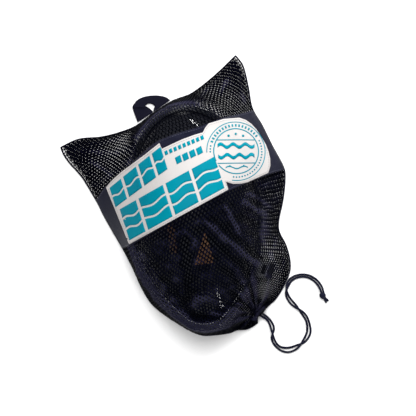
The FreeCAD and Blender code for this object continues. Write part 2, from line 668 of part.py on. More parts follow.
def make_loop():
    outline = [(-61.2, 130.4), (-63, 143), (-62, 152.5), (-57, 158.5), (-46.5, 162.5), (-32, 163), (-20, 160.5),
               (-13.5, 157), (-15.2, 153.7)]
    hole = [(-47.5, 150.5), (-41.5, 154), (-34, 153), (-31.5, 149), (-36, 145.2), (-44, 143.5)]
    curve = Part.BSplineCurve()
    curve.interpolate([V(x, y, 0.2) for x, y in outline])
    base = Part.LineSegment(V(outline[-1][0], outline[-1][1], 0.2), V(outline[0][0], outline[0][1], 0.2))
    plate = Part.Face(Part.Wire([curve.toShape(), base.toShape()])).extrude(V(0, 0, LOOP_T))
    eye = Part.BSplineCurve()
    eye.interpolate(Points=[V(x, y, -1) for x, y in hole], PeriodicFlag=True)
    plate = plate.cut(Part.Face(Part.Wire(eye.toShape())).extrude(V(0, 0, 6)))
    export("carry_loop", plate)


make_visor()
make_frame_and_bezel()
make_skirt()
make_cup()
make_inhale_valves()
make_drain_valve()
make_socket()
make_harness()
make_snorkel()
make_bag()
make_hem()
make_drawstring()
make_loop()
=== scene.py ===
"""Looks of the full-face snorkel mask in its net bag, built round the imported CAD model.

Plan places are in millimetres in the row's frame (x, y) and are turned into metres when a mesh is made.
"""
import json
import math

import bmesh
import bpy
import numpy as np
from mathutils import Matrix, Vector
from mathutils.bvhtree import BVHTree
from mathutils.geometry import delaunay_2d_cdt


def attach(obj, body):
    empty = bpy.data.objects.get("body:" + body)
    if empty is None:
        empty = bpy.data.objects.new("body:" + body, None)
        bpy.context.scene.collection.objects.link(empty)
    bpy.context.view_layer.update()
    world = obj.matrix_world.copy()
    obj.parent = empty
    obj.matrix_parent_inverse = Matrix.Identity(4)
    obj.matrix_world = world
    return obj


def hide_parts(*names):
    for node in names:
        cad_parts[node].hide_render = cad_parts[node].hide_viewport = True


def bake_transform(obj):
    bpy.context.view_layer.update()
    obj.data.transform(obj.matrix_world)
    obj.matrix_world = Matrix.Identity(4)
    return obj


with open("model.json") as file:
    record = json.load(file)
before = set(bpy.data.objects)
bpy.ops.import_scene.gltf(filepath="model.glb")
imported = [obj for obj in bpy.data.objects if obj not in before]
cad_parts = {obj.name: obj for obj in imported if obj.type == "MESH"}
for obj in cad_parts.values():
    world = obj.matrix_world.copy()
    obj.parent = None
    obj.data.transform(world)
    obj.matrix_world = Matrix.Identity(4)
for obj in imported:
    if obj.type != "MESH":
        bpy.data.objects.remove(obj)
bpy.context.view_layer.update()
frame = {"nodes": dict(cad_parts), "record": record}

MM = 0.001
nodes = frame["nodes"]
norm = np.linalg.norm
CORNERS = ("upper_left", "upper_right", "lower_left", "lower_right")  # of the harness

# ---- outline of the bag, clockwise from the left ear
SEAM = [
    (-159.5, 111), (-136, 118.5), (-108, 118), (-86, 120.5), (-62, 126.5), (-37.5, 140), (-11.5, 153),
    (14.5, 160), (46.5, 179.5), (75.5, 201.5)]
RIGHT = [
    (75.5, 201.5), (83, 188), (86.5, 162), (88.5, 133), (98.5, 109.5), (108, 83), (120, 52), (119.5, 36.5),
    (114, 12), (105.5, -13), (104.5, -28), (111, -45.5), (114, -65), (112, -80), (100.5, -100), (90, -112.5),
    (78, -121.5), (70.5, -131.5)]
LEFT = [
    (-159.5, 111), (-156.6, 101), (-150.5, 89.8), (-141.8, 78), (-135, 67), (-121, 35.8), (-113, 14),
    (-95.5, -26), (-84.5, -55), (-78, -76), (-68, -98.5), (-54.5, -114), (-28, -135.5), (-10, -146.5),
    (8, -149), (27.5, -148.5), (37, -145.7), (49.5, -146.2), (63, -140.5), (70.5, -131.5)]


def run_along(line):
    """Distance along a polyline to each of its points."""
    return np.concatenate([[0], np.cumsum(norm(np.diff(line, axis=0), axis=1))])


def read_line(line, run, wanted):
    """A polyline's columns at the wanted distances."""
    return np.stack([np.interp(wanted, run, column) for column in line.T], axis=-1)


def even(dense, count):
    """count points at equal distances along a polyline."""
    run = run_along(dense)
    return read_line(dense, run, np.linspace(0, run[-1], count))


def hermite(t, b, c, m0, m1):
    """Cubic from b to c that leaves with the slope m0 and arrives with m1."""
    return ((2 * t**3 - 3 * t**2 + 1) * b + (t**3 - 2 * t**2 + t) * m0
            + (-2 * t**3 + 3 * t**2) * c + (t**3 - t**2) * m1)


def smooth_line(points, count):
    """Even points along a smooth curve through the given points."""
    p = np.array(points, float)
    p = np.vstack([2 * p[0] - p[1], p, 2 * p[-1] - p[-2]])
    t = np.linspace(0, 1, 24, endpoint=False)[:, None]
    spans = []
    for a, b, c, d in zip(p, p[1:], p[2:], p[3:]):
        span = norm(c - b)
        m0, m1 = [m * min(1.0, span / (norm(m) + 1e-9)) for m in ((c - a) / 2, (d - b) / 2)]
        spans.append(hermite(t, b, c, m0, m1))
    return even(np.vstack(spans + [p[-2]]), count)


seam_line = smooth_line(SEAM, 160)
right_line = smooth_line(RIGHT, 260)
left_line = smooth_line(LEFT, 260)
rim_line = np.vstack([seam_line, right_line[1:], left_line[::-1][1:-1]])


def inside(points, loop):
    """Which of the points lie inside a closed loop."""
    x, y = points[:, 0][:, None], points[:, 1][:, None]
    x0, y0 = loop[:, 0][None], loop[:, 1][None]
    x1, y1 = np.roll(loop[:, 0], -1)[None], np.roll(loop[:, 1], -1)[None]
    crosses = (y0 > y) != (y1 > y)
    at = x0 + (y - y0) * (x1 - x0) / np.where(y1 == y0, 1e-9, y1 - y0)
    return np.sum(crosses & (x < at), axis=1) % 2 == 1


# ---- height of the net: a taut membrane over the mask, held down along the bag's outline
CELL = 2.0  # grid of the height map
NET_R = 0.55  # half thickness of a net strand
CLEAR = 1.6  # net's middle over the mask
RIM_Z = 2.0  # height along the bag's outline
ROUNDS, PULL = 400, 1.85  # rounds of settling, and how far each goes past the mean of its neighbours
RAY_TOP = 300.0  # rays that measure heights start here
DOWN = Vector((0, 0, -1))
HARD = ["visor_lens", "visor_bezel", "face_frame", "chin_valve_cap", "chin_valve_seat", "snorkel_socket",
        *["strap_clip_" + corner for corner in CORNERS], "clip_pins", "mouth_hem"]


def surface_under(names):
    verts, faces = [], []
    for name in names:
        base = len(verts)
        mesh = nodes[name].data
        verts += [v.co.copy() for v in mesh.vertices]
        faces += [[base + i for i in f.vertices] for f in mesh.polygons]
    return BVHTree.FromPolygons(verts, faces)


def cell_value(grid, a, b, fa, fb):
    """Bilinear value of a grid in the cells a, b at the shares fa, fb across them."""
    return ((1 - fa) * (1 - fb) * grid[a, b] + fa * (1 - fb) * grid[a + 1, b]
            + (1 - fa) * fb * grid[a, b + 1] + fa * fb * grid[a + 1, b + 1])


class HeightMap:
    """Heights in millimetres on a square grid, read back by bilinear interpolation."""

    def __init__(self):
        low, high = rim_line.min(0) - 6, rim_line.max(0) + 6
        self.low = low
        self.shape = tuple(int(n) for n in np.ceil((high - low) / CELL) + 1)
        x = low[0] + CELL * np.arange(self.shape[0])
        y = low[1] + CELL * np.arange(self.shape[1])
        self.x, self.y = np.meshgrid(x, y, indexing="ij")
        self.z = np.full(self.shape, RIM_Z)

    def settle(self):
        tree = surface_under(HARD)
        flat = np.stack([self.x.ravel(), self.y.ravel()], axis=1)
        free = inside(flat, rim_line).reshape(self.shape)
        block = np.zeros(self.shape)
        for i, j in np.argwhere(free):
            hit = tree.ray_cast(Vector((self.x[i, j] * MM, self.y[i, j] * MM, RAY_TOP * MM)), DOWN)
            if hit[0] is not None:
                block[i, j] = hit[0].z / MM + CLEAR
        spread = block.copy()
        for di, dj in ((1, 0), (-1, 0), (0, 1), (0, -1)):
            spread = np.maximum(spread, np.roll(block, (di, dj), axis=(0, 1)))
        floor_z = np.maximum(np.where(free, spread, 0), RIM_Z)
        z = floor_z.copy()
        odd = (np.add.outer(np.arange(self.shape[0]), np.arange(self.shape[1])) % 2).astype(bool)
        for step in range(ROUNDS):
            turn = free & (odd if step % 2 else ~odd)
            mean = (np.roll(z, 1, 0) + np.roll(z, -1, 0) + np.roll(z, 1, 1) + np.roll(z, -1, 1)) / 4
            z = np.where(turn, np.maximum(z + PULL * (mean - z), floor_z), z)
        self.z = z

    def read(self, points, grid=None):
        grid = self.z if grid is None else grid
        u = (points - self.low) / CELL
        i = np.clip(np.floor(u).astype(int), 0, np.array(self.shape) - 2)
        f = np.clip(u - i, 0, 1)
        return cell_value(grid, i[..., 0], i[..., 1], f[..., 0], f[..., 1])


drape = HeightMap()
drape.settle()

# ---- the front panel's cloth coordinates: s across the bag, t from the seam to the mouth
BAND_TOP = [
    (-123, 38.5), (-107.5, 55.5), (-70, 80), (-33, 103.5), (19.5, 114.5), (45, 122), (70, 126), (90, 130)]
BAND_LOW = [(-96, -26), (-86, -24), (-20, 4), (46, 30.5), (99.5, 46), (119.5, 49.5)]
LOWER = [(-61.5, -108), (-25, -84), (20, -64), (70, -52), (113.5, -60)]
NECK = [(-8, -148.5), (22, -126), (45, -106), (72, -92), (97, -104)]
MOUTH = [(65, -140), (64.5, -134), (66.5, -128.5), (71, -124.5), (77.5, -122)]
KEYS = [SEAM, BAND_TOP, BAND_LOW, LOWER, NECK, MOUTH]
KEY_T = [0.0, 88.0, 172.0, 262.0, 330.0, 378.0]  # cloth length from the seam, in millimetres
WIDTH = 300.0
STEP = 2.0  # spacing of the finished sheet's points


def lifted(points):
    return np.column_stack([points, drape.read(points)])


def nearest_run(line, point):
    return int(np.argmin(norm(line - np.array(point), axis=1)))


def side_points(line, ends, counts):
    """Points along one side of the bag, between the places where the key lines meet it."""
    marks = [nearest_run(line, end) for end in ends]
    rows = [line[marks[0]][None]]
    for a, b, n in zip(marks, marks[1:], counts):
        rows.append(even(line[a:b + 1], n + 1)[1:])
    return np.vstack(rows)


def cloth_grid():
    """Plan places of the front panel on an even grid of cloth coordinates."""
    across = int(WIDTH / STEP) + 1
    counts = [int(round((b - a) / STEP)) for a, b in zip(KEY_T, KEY_T[1:])]
    keys = []
    for line in KEYS:
        dense = smooth_line(line, 400)
        run = run_along(lifted(dense))
        keys.append(read_line(dense, run, np.linspace(0, run[-1], across)))
    keys = np.array(keys)
    padded = np.concatenate([2 * keys[:1] - keys[1:2], keys, 2 * keys[-1:] - keys[-2:-1]])
    rows = [keys[0][None]]
    for k, n in enumerate(counts):
        a, b, c, d = padded[k:k + 4]
        t = np.linspace(0, 1, 60)[:, None, None]
        span = hermite(t, b, c, (c - a) * 0.35, (d - b) * 0.35)
        out = np.zeros((n, across, 2))
        for s in range(across):
            run = run_along(lifted(span[:, s]))
            out[:, s] = read_line(span[:, s], run, np.linspace(0, run[-1], n + 1)[1:])
        rows.append(out)
    plan = np.concatenate(rows)
    left = side_points(left_line, [k[0] for k in KEYS], counts)
    right = side_points(right_line, [k[-1] for k in KEYS], counts)
    share = np.linspace(0, 1, across)[None, :, None]
    plan = plan + (1 - share)**3 * (left - plan[:, 0])[:, None] + share**3 * (right - plan[:, -1])[:, None]
    return plan


def relax(field, rounds):
    """Evens out a grid of points, with its edges held."""
    for _ in range(rounds):
        inner = (field[:-2, 1:-1] + field[2:, 1:-1] + field[1:-1, :-2] + field[1:-1, 2:]) / 4
        field[1:-1, 1:-1] = field[1:-1, 1:-1] * 0.5 + inner * 0.5
    return field


sheet_plan = relax(cloth_grid(), 6)
CINCH = np.array([63.0, -127.0])  # where the mouth gathers the net
FADE = 12.0  # length over which a fold fades at its ends


def ridge(points, start, end, width, height):
    """A soft fold along a line, fading at its ends."""
    a, b = np.array(start, float), np.array(end, float)
    way = b - a
    long = norm(way)
    way /= long
    rel = points - a
    along = rel @ way
    off = rel @ np.array([-way[1], way[0]])
    fade = np.clip(np.minimum(along, long - along) / FADE + 0.6, 0, 1)
    return height * fade * np.exp(-(off / width) ** 2)


RIDGES = [
    ((15, -5), (70, -64), 4.2, 5.0), ((40, 13), (53, -24), 2.8, 4.5), ((64, 16), (92, -8), 3.2, 4.0),
    ((70, 26), (100, 2), 3.0, 3.0), ((28, -92), (58, -83), 2.0, 2.2), ((100, -34), (79, -84), 3.0, 3.0),
    ((-14, -14), (0, -30), 4.0, 2.5), ((62, -70), (66, -108), 3.0, 3.5), ((84, -84), (76, -112), 2.6, 3.5),
    ((48, -96), (60, -116), 3.0, 3.0), ((6, -118), (44, -128), 3.0, 2.6), ((80, -30), (96, -70), 3.0, 3.0),
    ((-52, -70), (-20, -128), 4.0, 2.0), ((-76, -20), (-50, -84), 4.5, 2.0),
    ((-150, 107), (-84, 94), 3.4, 3.0), ((-140, 106), (-98, 66), 3.4, 2.4),
    ((-128, 112), (-62, 112), 3.0, 2.2), ((74, 192), (48, 152), 3.4, 3.0), ((78, 180), (80, 138), 3.0, 3.0),
    ((60, 184), (22, 152), 3.0, 2.4)]
VALLEYS = [
    ((14, -24), (62, -76), 5.0, 3.6), ((-14, -15), (-19, -96), 7.0, 3.6), ((58, -4), (74, -14), 5.0, 4.5),
    ((36, -104), (48, -112), 5.0, 4.0), ((24, -54), (40, -78), 6.0, 2.0), ((60, -40), (84, -66), 4.0, 2.4)]
SLACK = 2.8  # how far the loose net stands off the mask, on the whole
LABEL_MIDDLE, LABEL_TILT = np.array([-8.0, 49.0]), math.radians(22.25)
LABEL_REACH = (112.0, 46.0)  # how far the label holds the cloth, along and up from its middle
REAR_Z = 0.75  # height of the rear net


def folds(points):
    """Height of the slack net's folds over the taut membrane."""
    rel = points - CINCH
    reach = norm(rel, axis=-1)
    angle = np.arctan2(rel[..., 1], rel[..., 0])
    gathers = np.abs(np.sin(8.0 * angle + 0.8 * np.sin(3 * angle))) ** 1.4
    high = SLACK + 5.5 * np.exp(-((reach - 20) / 26.0) ** 2) * (gathers - 0.35)
    for start, end, width, height in RIDGES:
        high += ridge(points, start, end, width, height)
    for start, end, width, depth in VALLEYS:
        high -= ridge(points, start, end, width, depth)
    x, y = points[..., 0], points[..., 1]
    dome = np.clip(1.2 - ((x - 15) / 24.0) ** 2 - ((y + 92) / 26.0) ** 2, 0, 1)
    high += 3.0 * dome
    for pitch, way, swing, phase in ((31.0, 0.5, 0.7, 0.3), (22.0, 2.1, 0.55, 1.7), (14.0, 1.2, 0.4, 4.0),
                                     (9.5, 2.7, 0.25, 2.2)):
        bend = 4.0 * np.sin(0.05 * x * math.sin(way) + 0.07 * y * math.cos(way) + phase)
        high += swing * np.sin((x * math.cos(way) + y * math.sin(way) + bend) * 2 * math.pi / pitch + phase)
    return high


def under_label(points):
    """1 where the stiff label holds the cloth smooth, falling to 0 away from it."""
    rel = points - LABEL_MIDDLE
    c, n = math.cos(LABEL_TILT), math.sin(LABEL_TILT)
    along, up = rel[..., 0] * c + rel[..., 1] * n, -rel[..., 0] * n + rel[..., 1] * c
    reach = np.maximum(np.abs(along) / LABEL_REACH[0], np.abs(up) / LABEL_REACH[1])
    return np.clip((1.12 - reach) / 0.12, 0, 1)


def surface_grid(plan):
    z = drape.read(plan)
    held = under_label(plan)
    extra = np.maximum(folds(plan) * (1 - held) + 1.2 * held, -0.8)
    return np.dstack([plan, z + extra * np.clip((z - RIM_Z) / 9.0, 0, 1)])


front = surface_grid(sheet_plan)
rear = np.dstack([sheet_plan, np.full(sheet_plan.shape[:2], REAR_Z)])


def sheet_normals(sheet):
    ds = np.gradient(sheet, axis=1)
    dt = np.gradient(sheet, axis=0)
    n = np.cross(dt, ds)
    n /= norm(n, axis=-1, keepdims=True) + 1e-9
    return n * np.sign(n[..., 2:3] + 1e-6)


def at(sheet, s, t):
    """Place on a sheet for cloth coordinates in millimetres."""
    i = np.clip(t / STEP, 0, sheet.shape[0] - 1.001)
    j = np.clip(s / STEP, 0, sheet.shape[1] - 1.001)
    a, b = i.astype(int), j.astype(int)
    return cell_value(sheet, a, b, (i - a)[..., None], (j - b)[..., None])


# ---- mesh helpers
def placed(name, data, material=None):
    """A new object in the scene, with one material if it takes any."""
    obj = bpy.data.objects.new(name, data)
    bpy.context.scene.collection.objects.link(obj)
    if material:
        data.materials.append(material)
    return obj


def from_bmesh(name, bm, material):
    mesh = bpy.data.meshes.new(name)
    bm.to_mesh(mesh)
    bm.free()
    return placed(name, mesh, material)


def outward(obj, merge=0.0):
    """Turns a mesh's faces outwards; loose points go, and those closer than merge (metres) are joined."""
    bm = bmesh.new()
    bm.from_mesh(obj.data)
    bmesh.ops.delete(bm, geom=[v for v in bm.verts if not v.link_faces], context="VERTS")
    if merge:
        bmesh.ops.remove_doubles(bm, verts=bm.verts, dist=merge)
    bmesh.ops.recalc_face_normals(bm, faces=bm.faces)
    bm.to_mesh(obj.data)
    bm.free()
    return obj


def new_mesh(name, verts, faces, material, smooth=True):
    mesh = bpy.data.meshes.new(name)
    mesh.vertices.add(len(verts))
    mesh.vertices.foreach_set("co", (np.asarray(verts, float) * MM).ravel())
    mesh.loops.add(faces.size)
    mesh.loops.foreach_set("vertex_index", faces.ravel())
    mesh.polygons.add(len(faces))
    mesh.polygons.foreach_set("loop_start", np.arange(0, faces.size, faces.shape[1]))
    mesh.polygons.foreach_set("use_smooth", np.full(len(faces), smooth))
    mesh.update(calc_edges=True)
    mesh.validate()
    return placed(name, mesh, material)


def ring_quads(size, rows, closed=False):
    """Quads between neighbouring rings of points; closed also joins the last ring to the first."""
    k, row = np.arange(size), np.arange(rows if closed else rows - 1)[:, None]
    nxt, here, there = (k + 1) % size, row * size, (row + 1) % rows * size
    return np.stack([here + k, here + nxt, there + nxt, there + k], axis=-1).reshape(-1, 4)


def grid_quads(rows, cols):
    """Quads between the points of a grid."""
    index = np.arange(rows * cols).reshape(rows, cols)
    corners = index[:-1, :-1], index[:-1, 1:], index[1:, 1:], index[1:, :-1]
    return np.stack([corner.ravel() for corner in corners], axis=1)


def border(grid):
    """A grid's outermost entries, once round."""
    return np.concatenate([grid[0], grid[1:, -1], grid[-1, ::-1][1:], grid[::-1, 0][1:-1]])


def with_fans(verts, faces, size, ends):
    """Closes rings of points with fans; ends holds each ring's row and its fan's middle."""
    k = np.arange(size)
    for row, middle in ends:
        fan = row * size + np.stack([k, (k + 1) % size], axis=1)
        verts = np.vstack([verts, middle[None]])
        faces = np.vstack([faces, np.column_stack([fan, np.full((size, 2), len(verts) - 1)])])
    return verts, faces


def turned(x, y, middle, angle):
    """Plan place for a place measured along and up from a middle, in a turned direction."""
    x, y = np.asarray(x, float), np.asarray(y, float)
    c, n = math.cos(angle), math.sin(angle)
    return np.stack([middle[0] + x * c - y * n, middle[1] + x * n + y * c], axis=-1)


# ---- net: hexagonal mesh of rounded strands
PITCH = 5.1
HOLE = (1.5, 1.9)  # half width and half height of a hole
RING = 12  # points round a hole
NET_MERGE = 0.00012  # points of neighbouring cells closer than this (metres) are one


def crown(points):
    """1 over the top of the mask, where the net is pulled tight and painted darker as shade, falling to 0
    around it.
    """
    return np.exp(-((points[..., 0] + 4) / 72) ** 4 - ((points[..., 1] - 120) / 34) ** 4)


def net_piece(name, sheet, t0, t1, material, thick=NET_R, slip=(0.0, 0.0), hole_size=HOLE, run=(0.0, WIDTH)):
    """Cells of a hexagonal net between two cloth rows: an oval hole inside each hexagon."""
    normals = sheet_normals(sheet)
    row = PITCH * math.sqrt(3) / 2
    turn = 2 * math.pi * np.arange(RING) / RING
    hex_r = PITCH / 2 / np.cos((turn + math.pi / 6) % (math.pi / 3) - math.pi / 6)
    crest = np.stack([hex_r * np.cos(turn), hex_r * np.sin(turn)], axis=1)
    hole = np.stack([hole_size[0] * np.cos(turn), hole_size[1] * np.sin(turn)], axis=1)
    centres = []
    for r in range(int(math.ceil(t0 / row)), int((t1 - row * 0.4) / row) + 1):
        shift = PITCH / 2 if r % 2 else 0.0
        for c in range(int(WIDTH / PITCH) + 1):
            s = c * PITCH + shift + PITCH / 2
            if run[0] < s < run[1] - PITCH * 0.4:
                centres.append((s, (r + 0.5) * row))
    centres = np.array(centres)
    stretch = 1 + 0.26 * crown(at(sheet, centres[:, 0], centres[:, 1]))[:, None, None]
    rings = [(crest[None], thick), (hole[None] * stretch, 0.0), (crest[None], -thick)]
    verts = []
    for shape, rise in rings:
        st = centres[:, None] + shape + np.array(slip)
        place = at(sheet, st[..., 0], st[..., 1])
        up = at(normals, st[..., 0], st[..., 1])
        verts.append(place + up * rise)
    verts = np.stack(verts, axis=1).reshape(-1, 3)
    first = np.arange(len(centres)) * len(rings) * RING
    faces = (ring_quads(RING, len(rings))[None] + first[:, None, None]).reshape(-1, 4)
    return outward(new_mesh(name, verts, faces, material), merge=NET_MERGE)


# ---- materials
class Nodes:
    """Short calls for building one material's nodes."""

    def __init__(self, name):
        self.material = bpy.data.materials.new(name)
        self.material.use_nodes = True
        self.tree = self.material.node_tree
        self.tree.nodes.clear()
        self.shader = self.add("ShaderNodeBsdfPrincipled")
        self.add("ShaderNodeOutputMaterial", {0: self.shader.outputs[0]})
        self.place = self.add("ShaderNodeTexCoord").outputs["Object"]

    def feed(self, socket, value):
        """Links a socket to another node's, or gives it a value."""
        if isinstance(value, bpy.types.NodeSocket):
            self.tree.links.new(value, socket)
        else:
            socket.default_value = value

    def add(self, kind, inputs=None, **settings):
        node = self.tree.nodes.new(kind)
        for key, value in settings.items():
            setattr(node, key, value)
        for key, value in (inputs or {}).items():
            self.feed(node.inputs[key], value)
        return node

    def set(self, **values):
        for key, value in values.items():
            self.feed(self.shader.inputs[key.replace("_", " ")], value)

    def noise(self, scale, detail=3.0):
        inputs = {"Scale": scale, "Detail": detail, "Roughness": 0.55, "Vector": self.place}
        return self.add("ShaderNodeTexNoise", inputs).outputs["Fac"]

    def ramp(self, value, stops):
        node = self.add("ShaderNodeValToRGB", {"Fac": value})
        while len(node.color_ramp.elements) < len(stops):
            node.color_ramp.elements.new(0.5)
        for element, (place, colour) in zip(node.color_ramp.elements, stops):
            element.position = place
            element.color = (*colour, 1.0)
        return node.outputs["Color"]

    def cloud(self, scale, detail, low, high):
        """Colour that drifts between two shades."""
        return self.ramp(self.noise(scale, detail), [(0.3, low), (0.7, high)])

    def math(self, operation, a, b=None):
        inputs = {0: a} if b is None else {0: a, 1: b}
        return self.add("ShaderNodeMath", inputs, operation=operation).outputs[0]

    def wave(self, scale, direction, distortion=0.0):
        inputs = {"Scale": scale, "Distortion": distortion, "Vector": self.place}
        node = self.add("ShaderNodeTexWave", inputs, wave_type="BANDS", bands_direction=direction)
        return node.outputs["Fac"]

    def weave(self, pitch):
        """Threads crossing at right angles."""
        return self.math("MULTIPLY", self.wave(pitch, "X"), self.wave(pitch, "Y"))

    def bump(self, height, strength, distance):
        inputs = {"Strength": strength, "Distance": distance, "Height": height}
        self.set(Normal=self.add("ShaderNodeBump", inputs).outputs[0])

    def colour(self, value):
        self.set(Base_Color=value)

    def rough(self, value, low, high):
        inputs = {"To Min": low, "To Max": high, "Value": value}
        self.set(Roughness=self.add("ShaderNodeMapRange", inputs).outputs[0])


def net_material():
    """Knitted navy polyester, with painted shade near black in the hollows and over the mask's top, and a
    painted highlight, lighter and bluer, along the ridges.
    """
    m = Nodes("net_knit")
    fine = m.noise(900, 2)
    # the relief value paints shade in the hollows and over the mask's top, and a painted highlight on the
    # ridges
    relief_shade = m.add("ShaderNodeAttribute", attribute_name="relief_shade").outputs["Fac"]
    mix = m.math("ADD", m.math("MULTIPLY", fine, 0.3), m.math("MULTIPLY", relief_shade, 0.7))
    m.colour(m.ramp(mix, [(0.30, (0.0003, 0.0004, 0.0012)), (0.50, (0.0011, 0.0012, 0.0042)),
                          (0.66, (0.0030, 0.0030, 0.0092)), (0.82, (0.0165, 0.0160, 0.0330))]))
    m.rough(fine, 0.40, 0.55)
    m.bump(m.wave(520, "DIAGONAL", 2.5), 0.55, 0.00018)
    m.set(Specular_IOR_Level=0.02, Specular_Tint=(0.45, 0.52, 1.0, 1))
    return m.material


SPECK = 0.12  # how far a plastic's shade drifts


def woven(name, dark, light, pitch, bump=0.6):
    """Plain weave with its threads along the bag's own directions."""
    m = Nodes(name)
    turn = {"Rotation": (0, 0, math.radians(-22)), "Vector": m.place}
    m.place = m.add("ShaderNodeMapping", turn).outputs[0]
    weave = m.weave(pitch)
    cloud = m.noise(24, 4)
    mix = m.math("ADD", m.math("MULTIPLY", weave, 0.5), m.math("MULTIPLY", cloud, 0.5))
    m.colour(m.ramp(mix, [(0.15, dark), (0.75, light)]))
    m.rough(cloud, 0.62, 0.85)
    m.bump(weave, bump, 0.0002)
    m.set(Sheen_Weight=0.05, Sheen_Roughness=0.45, Specular_IOR_Level=0.08)
    return m.material


def satin(name, scale, dark, light, rough, bump, shine):
    """Fine satin, or print on it."""
    m = Nodes(name)
    cloud = m.noise(scale, 3)
    m.colour(m.ramp(cloud, [(0.3, dark), (0.7, light)]))
    m.rough(cloud, *rough)
    m.bump(m.weave(600), bump, 0.0001)
    m.set(Specular_IOR_Level=shine)
    return m.material


def plastic(name, colour, rough, grain=0.0, coat=0.0, shine=0.5):
    m = Nodes(name)
    low = tuple(c * (1 - SPECK) for c in colour)
    high = tuple(min(1.0, c * (1 + SPECK) + 0.002) for c in colour)
    m.colour(m.cloud(35, 4, low, high))
    m.rough(m.noise(120, 3), rough * 0.8, rough * 1.25)
    if grain:
        m.bump(m.noise(1500, 2), grain, 0.0001)
    m.set(Coat_Weight=coat, Coat_Roughness=0.08, Specular_IOR_Level=shine)
    return m.material


# amber patches painted on the lens for the table in the mask's shadow seen through it, in metres: a wedge
# that widens downwards, and a fainter strip beside it
WEDGE_X, WEDGE_TOP, WEDGE_TALL, WEDGE_HALF, WEDGE_LEAN = 0.0110, -0.016, 0.040, 0.0125, 0.005
STRIP_X, STRIP_Y, STRIP_HALF, STRIP_REACH, STRIP_SHARE = -0.0305, -0.021, 0.0045, 0.018, 0.35


def lens_material():
    """Smoked polycarbonate, with two amber patches painted low on the front: a painted view of the shaded
    table seen through the clear lens.
    """
    m = Nodes("lens_polycarbonate")
    position = m.add("ShaderNodeNewGeometry").outputs["Position"]
    x, y, _ = m.add("ShaderNodeSeparateXYZ", {0: position}).outputs

    def away(value, middle):
        return m.math("ABSOLUTE", m.math("SUBTRACT", value, middle))

    down = m.math("DIVIDE", m.math("SUBTRACT", WEDGE_TOP, y), WEDGE_TALL)
    middle = m.math("SUBTRACT", WEDGE_X, m.math("MULTIPLY", down, WEDGE_LEAN))
    wedge = m.math("SUBTRACT", m.math("MULTIPLY", down, WEDGE_HALF), away(x, middle))
    top = m.math("MULTIPLY", m.math("GREATER_THAN", wedge, 0.0), m.math("LESS_THAN", down, 1.0))
    strip = m.math("SUBTRACT", 1.0, m.math("DIVIDE", away(x, STRIP_X), STRIP_HALF))
    tall = m.math("LESS_THAN", away(y, STRIP_Y), STRIP_REACH)
    side = m.math("MULTIPLY", m.math("GREATER_THAN", strip, 0.0), m.math("MULTIPLY", tall, STRIP_SHARE))
    smoke = m.cloud(14, 2, (0.010, 0.011, 0.016), (0.016, 0.017, 0.024))
    # the amber stands in for the shaded table seen through the lens: painted see-through shade, not a tint of
    # the lens
    inputs = {0: m.math("MAXIMUM", top, side), 6: smoke, 7: (0.17, 0.090, 0.050, 1)}
    m.colour(m.add("ShaderNodeMix", inputs, data_type="RGBA").outputs[2])
    m.rough(m.noise(60, 3), 0.03, 0.08)
    m.set(Transmission_Weight=0.35, IOR=1.45, Specular_IOR_Level=0.10)
    return m.material


def metal_material():
    m = Nodes("pin_steel")
    m.colour(m.cloud(60, 3, (0.5, 0.5, 0.52), (0.68, 0.68, 0.7)))
    m.rough(m.wave(400, "Y", 1.0), 0.2, 0.38)
    m.set(Metallic=1.0)
    return m.material


def foam_material():
    m = Nodes("float_foam")
    m.colour(m.cloud(60, 3, (0.66, 0.67, 0.70), (0.8, 0.81, 0.83)))
    m.rough(m.noise(90, 2), 0.7, 0.9)
    cells = m.add("ShaderNodeTexVoronoi", {"Scale": 900, "Vector": m.place})
    m.bump(cells.outputs["Distance"], 0.4, 0.0002)
    return m.material


net = net_material()
band_cloth = woven("band_weave", (0.0035, 0.004, 0.012), (0.0085, 0.009, 0.024), 420)
webbing = woven("webbing_weave", (0.002, 0.002, 0.008), (0.005, 0.005, 0.016), 230, bump=0.9)
elastic = woven("elastic_weave", (0.010, 0.011, 0.018), (0.034, 0.036, 0.050), 260, bump=0.9)
cord_cloth = woven("cord_braid", (0.002, 0.003, 0.011), (0.007, 0.008, 0.024), 300, bump=0.9)
label_cloth = satin("label_satin", 9, (0.43, 0.405, 0.395), (0.48, 0.46, 0.45), (0.42, 0.55), 0.25, 0.25)
teal = satin("label_print", 11, (0.0, 0.150, 0.215), (0.0, 0.235, 0.300), (0.35, 0.5), 0.2, 0.02)
thread_grey = plastic("thread_grey", (0.20, 0.19, 0.20), 0.6)
thread_dark = plastic("thread_navy", (0.02, 0.021, 0.045), 0.55)
binding_cloth = woven("binding_weave", (0.002, 0.002, 0.007), (0.006, 0.006, 0.016), 380)
looks = {
    "lens": lens_material(),
    "bezel": plastic("bezel_gloss", (0.003, 0.004, 0.008), 0.10, shine=0.45),
    "frame": plastic("frame_satin", (0.004, 0.005, 0.009), 0.32, grain=0.15, shine=0.3),
    "silicone": plastic("skirt_silicone", (0.008, 0.008, 0.012), 0.5, grain=0.1),
    "cup_silicone": plastic("cup_silicone", (0.018, 0.018, 0.024), 0.42, grain=0.1),
    "valve_rubber": plastic("valve_rubber", (0.03, 0.03, 0.035), 0.55),
    "valve_plastic": plastic("valve_plastic", (0.05, 0.052, 0.06), 0.3),
    "clip_plastic": plastic("clip_plastic", (0.10, 0.105, 0.12), 0.15, coat=0.5),
    "pin_steel": metal_material(),
    "elastic": elastic,
    "tube": plastic("tube_satin", (0.009, 0.010, 0.017), 0.3, grain=0.12),
    "button": plastic("button_teal", (0.0, 0.24, 0.32), 0.3),
    "float_foam": foam_material(),
    "net": net,
    "band": band_cloth,
    "label": label_cloth,
    "cord": cord_cloth,
    "webbing": webbing,
}
for part in frame["record"]["subparts"]:
    obj = nodes[part["node"]]
    obj.data.materials.clear()
    obj.data.materials.append(looks[part["material_slot"]])


